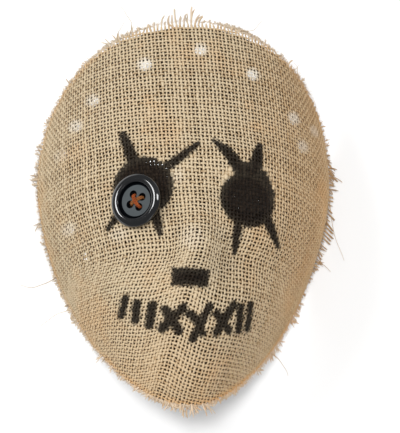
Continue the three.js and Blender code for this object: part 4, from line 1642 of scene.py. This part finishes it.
def elastic_material():
    """Woven elastic: black yarn ribs crossed by fine ribs, with some lint."""
    colour = bpy.context.scene.mask_band.colour
    made = Finish("black_elastic")
    grain, height = made.grain(2200.0, 180.0)
    turns = made.attribute("along") * (2 * math.pi / (0.9 * MM))
    crossed = turns.maths("SINE", turns).ramp(-0.6, 0.8)
    yarn = made.mixed(grain * 0.6, colour, tuple(2.6 * c + 0.004 for c in colour))
    woven = made.mixed(crossed * 0.45, yarn, scaled(colour, 0.4))
    return made.done({
        "Base Color": made.mixed(made.dust(1300.0, 0.68) * 0.2, woven, shade(120, 116, 110)),
        "Normal": made.bump(crossed * 0.7 + height, 0.5, 0.3 * MM), "Roughness": 0.85, "Sheen Weight": 0.15,
    })


class MASK_OT_band(bpy.types.Operator):
    """Lay the elastic band behind the mask"""

    bl_idname = "mask.band"
    bl_label = "Elastic band"

    def execute(self, context):
        line = catmull_rom(band_route(), 200)
        ahead, aside = carried_frames(line, (0, 1, 0))
        path = path_of(line, np.cross(aside, ahead), 1.0, 0)
        outline = band_profile(context.scene.mask_band.ribs)
        band = sweep("elastic_band", [path], outline, BAND_THICKNESS, BAND_WIDTH, elastic_material())
        own(band, "strap")
        return {"FINISHED"}


# The stage

CAMERA_AZIMUTH, CAMERA_TILT, CAMERA_ROLL = math.radians(-5.676), math.radians(10), math.radians(-1.888)
CAMERA_TARGET = Vector((0, 0, 60 * MM))
FRAME_SHIFT_RIGHT, FRAME_SHIFT_UP = 5.07 * MM, -4.43 * MM

# Soft lights: place, what they aim at, size, and whether polished parts mirror them
LIGHTS = {
    "key": ((-0.88, 0.31, 0.86), (0, 0, 0.05), 0.34, True),
    "top": ((-0.2, -0.05, 1.5), (0, 0, 0.05), 0.3, False),
    "glint": ((0.09, 0.42, 1.5), (0, 0, 0.05), 0.34, True),
    "fill": ((0.3, -1.0, 0.8), (0, 0, 0.05), 0.6, True),
    "under": ((0, 0.01, 0.045), (0, 0.01, 0), 0.12, True),
}


def set_camera(settings):
    """The camera at the photograph's angle."""
    flat, aside = math.cos(CAMERA_TILT), math.sin(CAMERA_AZIMUTH)
    back = Vector((aside * flat, -math.sin(CAMERA_TILT), math.cos(CAMERA_AZIMUTH) * flat)).normalized()
    up = (Vector((0, 1, 0)) - back * back.y).normalized()
    right = up.cross(back)
    c, s = math.cos(CAMERA_ROLL), math.sin(CAMERA_ROLL)
    up, right = up * c + right * s, right * c - up * s
    place = CAMERA_TARGET + back * settings.distance
    away = (place - CAMERA_TARGET - right * FRAME_SHIFT_RIGHT - up * FRAME_SHIFT_UP).normalized()
    level = (right - away * right.dot(away)).normalized()
    data = bpy.data.cameras.new("camera")
    data.lens, data.sensor_width, data.clip_end = settings.lens, 36, 10
    camera = new_object("camera", data)
    axes = Matrix((level, away.cross(level), away)).transposed()
    camera.matrix_world = Matrix.Translation(place) @ axes.to_4x4()
    bpy.context.scene.camera = camera


def area_light(name, place, aim, size, mirrored, power):
    """A soft square light aimed at a point."""
    data = bpy.data.lights.new(name, "AREA")
    data.size, data.energy = size, power
    lamp = new_object(name, data)
    lamp.location = place
    lamp.rotation_euler = (Vector(aim) - Vector(place)).to_track_quat("-Z", "Y").to_euler()
    lamp.visible_camera, lamp.visible_glossy = False, mirrored


class MASK_OT_stage(bpy.types.Operator):
    """Set up the camera, the pale floor and the soft lights"""

    bl_idname = "mask.stage"
    bl_label = "Stage"

    def execute(self, context):
        settings = context.scene.mask_stage
        set_camera(settings)
        reach = 6.0
        corners = [(-reach, -reach, 0), (reach, -reach, 0), (reach, reach, 0), (-reach, reach, 0)]
        floor = mesh_object("floor", corners, [(0, 1, 2, 3)])
        made = Finish("floor_paper")
        paper = made.mixed(made.place.noise(3.0), settings.floor, scaled(settings.floor, 0.985))
        floor.data.materials.append(made.done({"Base Color": paper, "Roughness": 0.9}))
        for name, light in LIGHTS.items():
            area_light(name, *light, getattr(settings, name))
        world = bpy.data.worlds.new("surroundings")
        world.use_nodes = True
        feed(world.node_tree.nodes["Background"], {"Color": (1, 1, 1, 1), "Strength": settings.sky})
        context.scene.world = world
        context.scene.view_settings.view_transform = "Standard"
        return {"FINISHED"}


class MASK_PT_panel(bpy.types.Panel):
    """Lists the mask's pieces"""

    bl_idname = "MASK_PT_panel"
    bl_label = "Burlap mask"
    bl_space_type = "VIEW_3D"
    bl_region_type = "UI"
    bl_category = "Mask"

    def draw(self, context):
        for operator in OPERATORS:
            self.layout.operator(operator.bl_idname)
        for group in SETTINGS:
            box = self.layout.box()
            box.label(text=SETTINGS[group].__doc__.rstrip("."))
            for name in SETTINGS[group].__annotations__:
                box.prop(getattr(context.scene, group), name)


SETTINGS = {
    "mask_stage": StageSettings,
    "mask_band": BandSettings,
    "mask_shell": ShellSettings,
    "mask_weave": WeaveSettings,
    "mask_paint": PaintSettings,
    "mask_button": ButtonSettings,
}
OPERATORS = (
    MASK_OT_stage, MASK_OT_band, MASK_OT_shell, MASK_OT_cover, MASK_OT_fray, MASK_OT_button, MASK_OT_thread,
)


def register():
    for group, settings in SETTINGS.items():
        bpy.utils.register_class(settings)
        setattr(bpy.types.Scene, group, bpy.props.PointerProperty(type=settings))
    for operator in OPERATORS:
        bpy.utils.register_class(operator)
    bpy.utils.register_class(MASK_PT_panel)


def unregister():
    bpy.utils.unregister_class(MASK_PT_panel)
    for operator in reversed(OPERATORS):
        bpy.utils.unregister_class(operator)
    for group in reversed(SETTINGS):
        delattr(bpy.types.Scene, group)
        bpy.utils.unregister_class(SETTINGS[group])


def main():
    register()
    for operator in OPERATORS:
        area, name = operator.bl_idname.split(".")
        getattr(getattr(bpy.ops, area), name)()


if __name__ == "__main__":
    main()
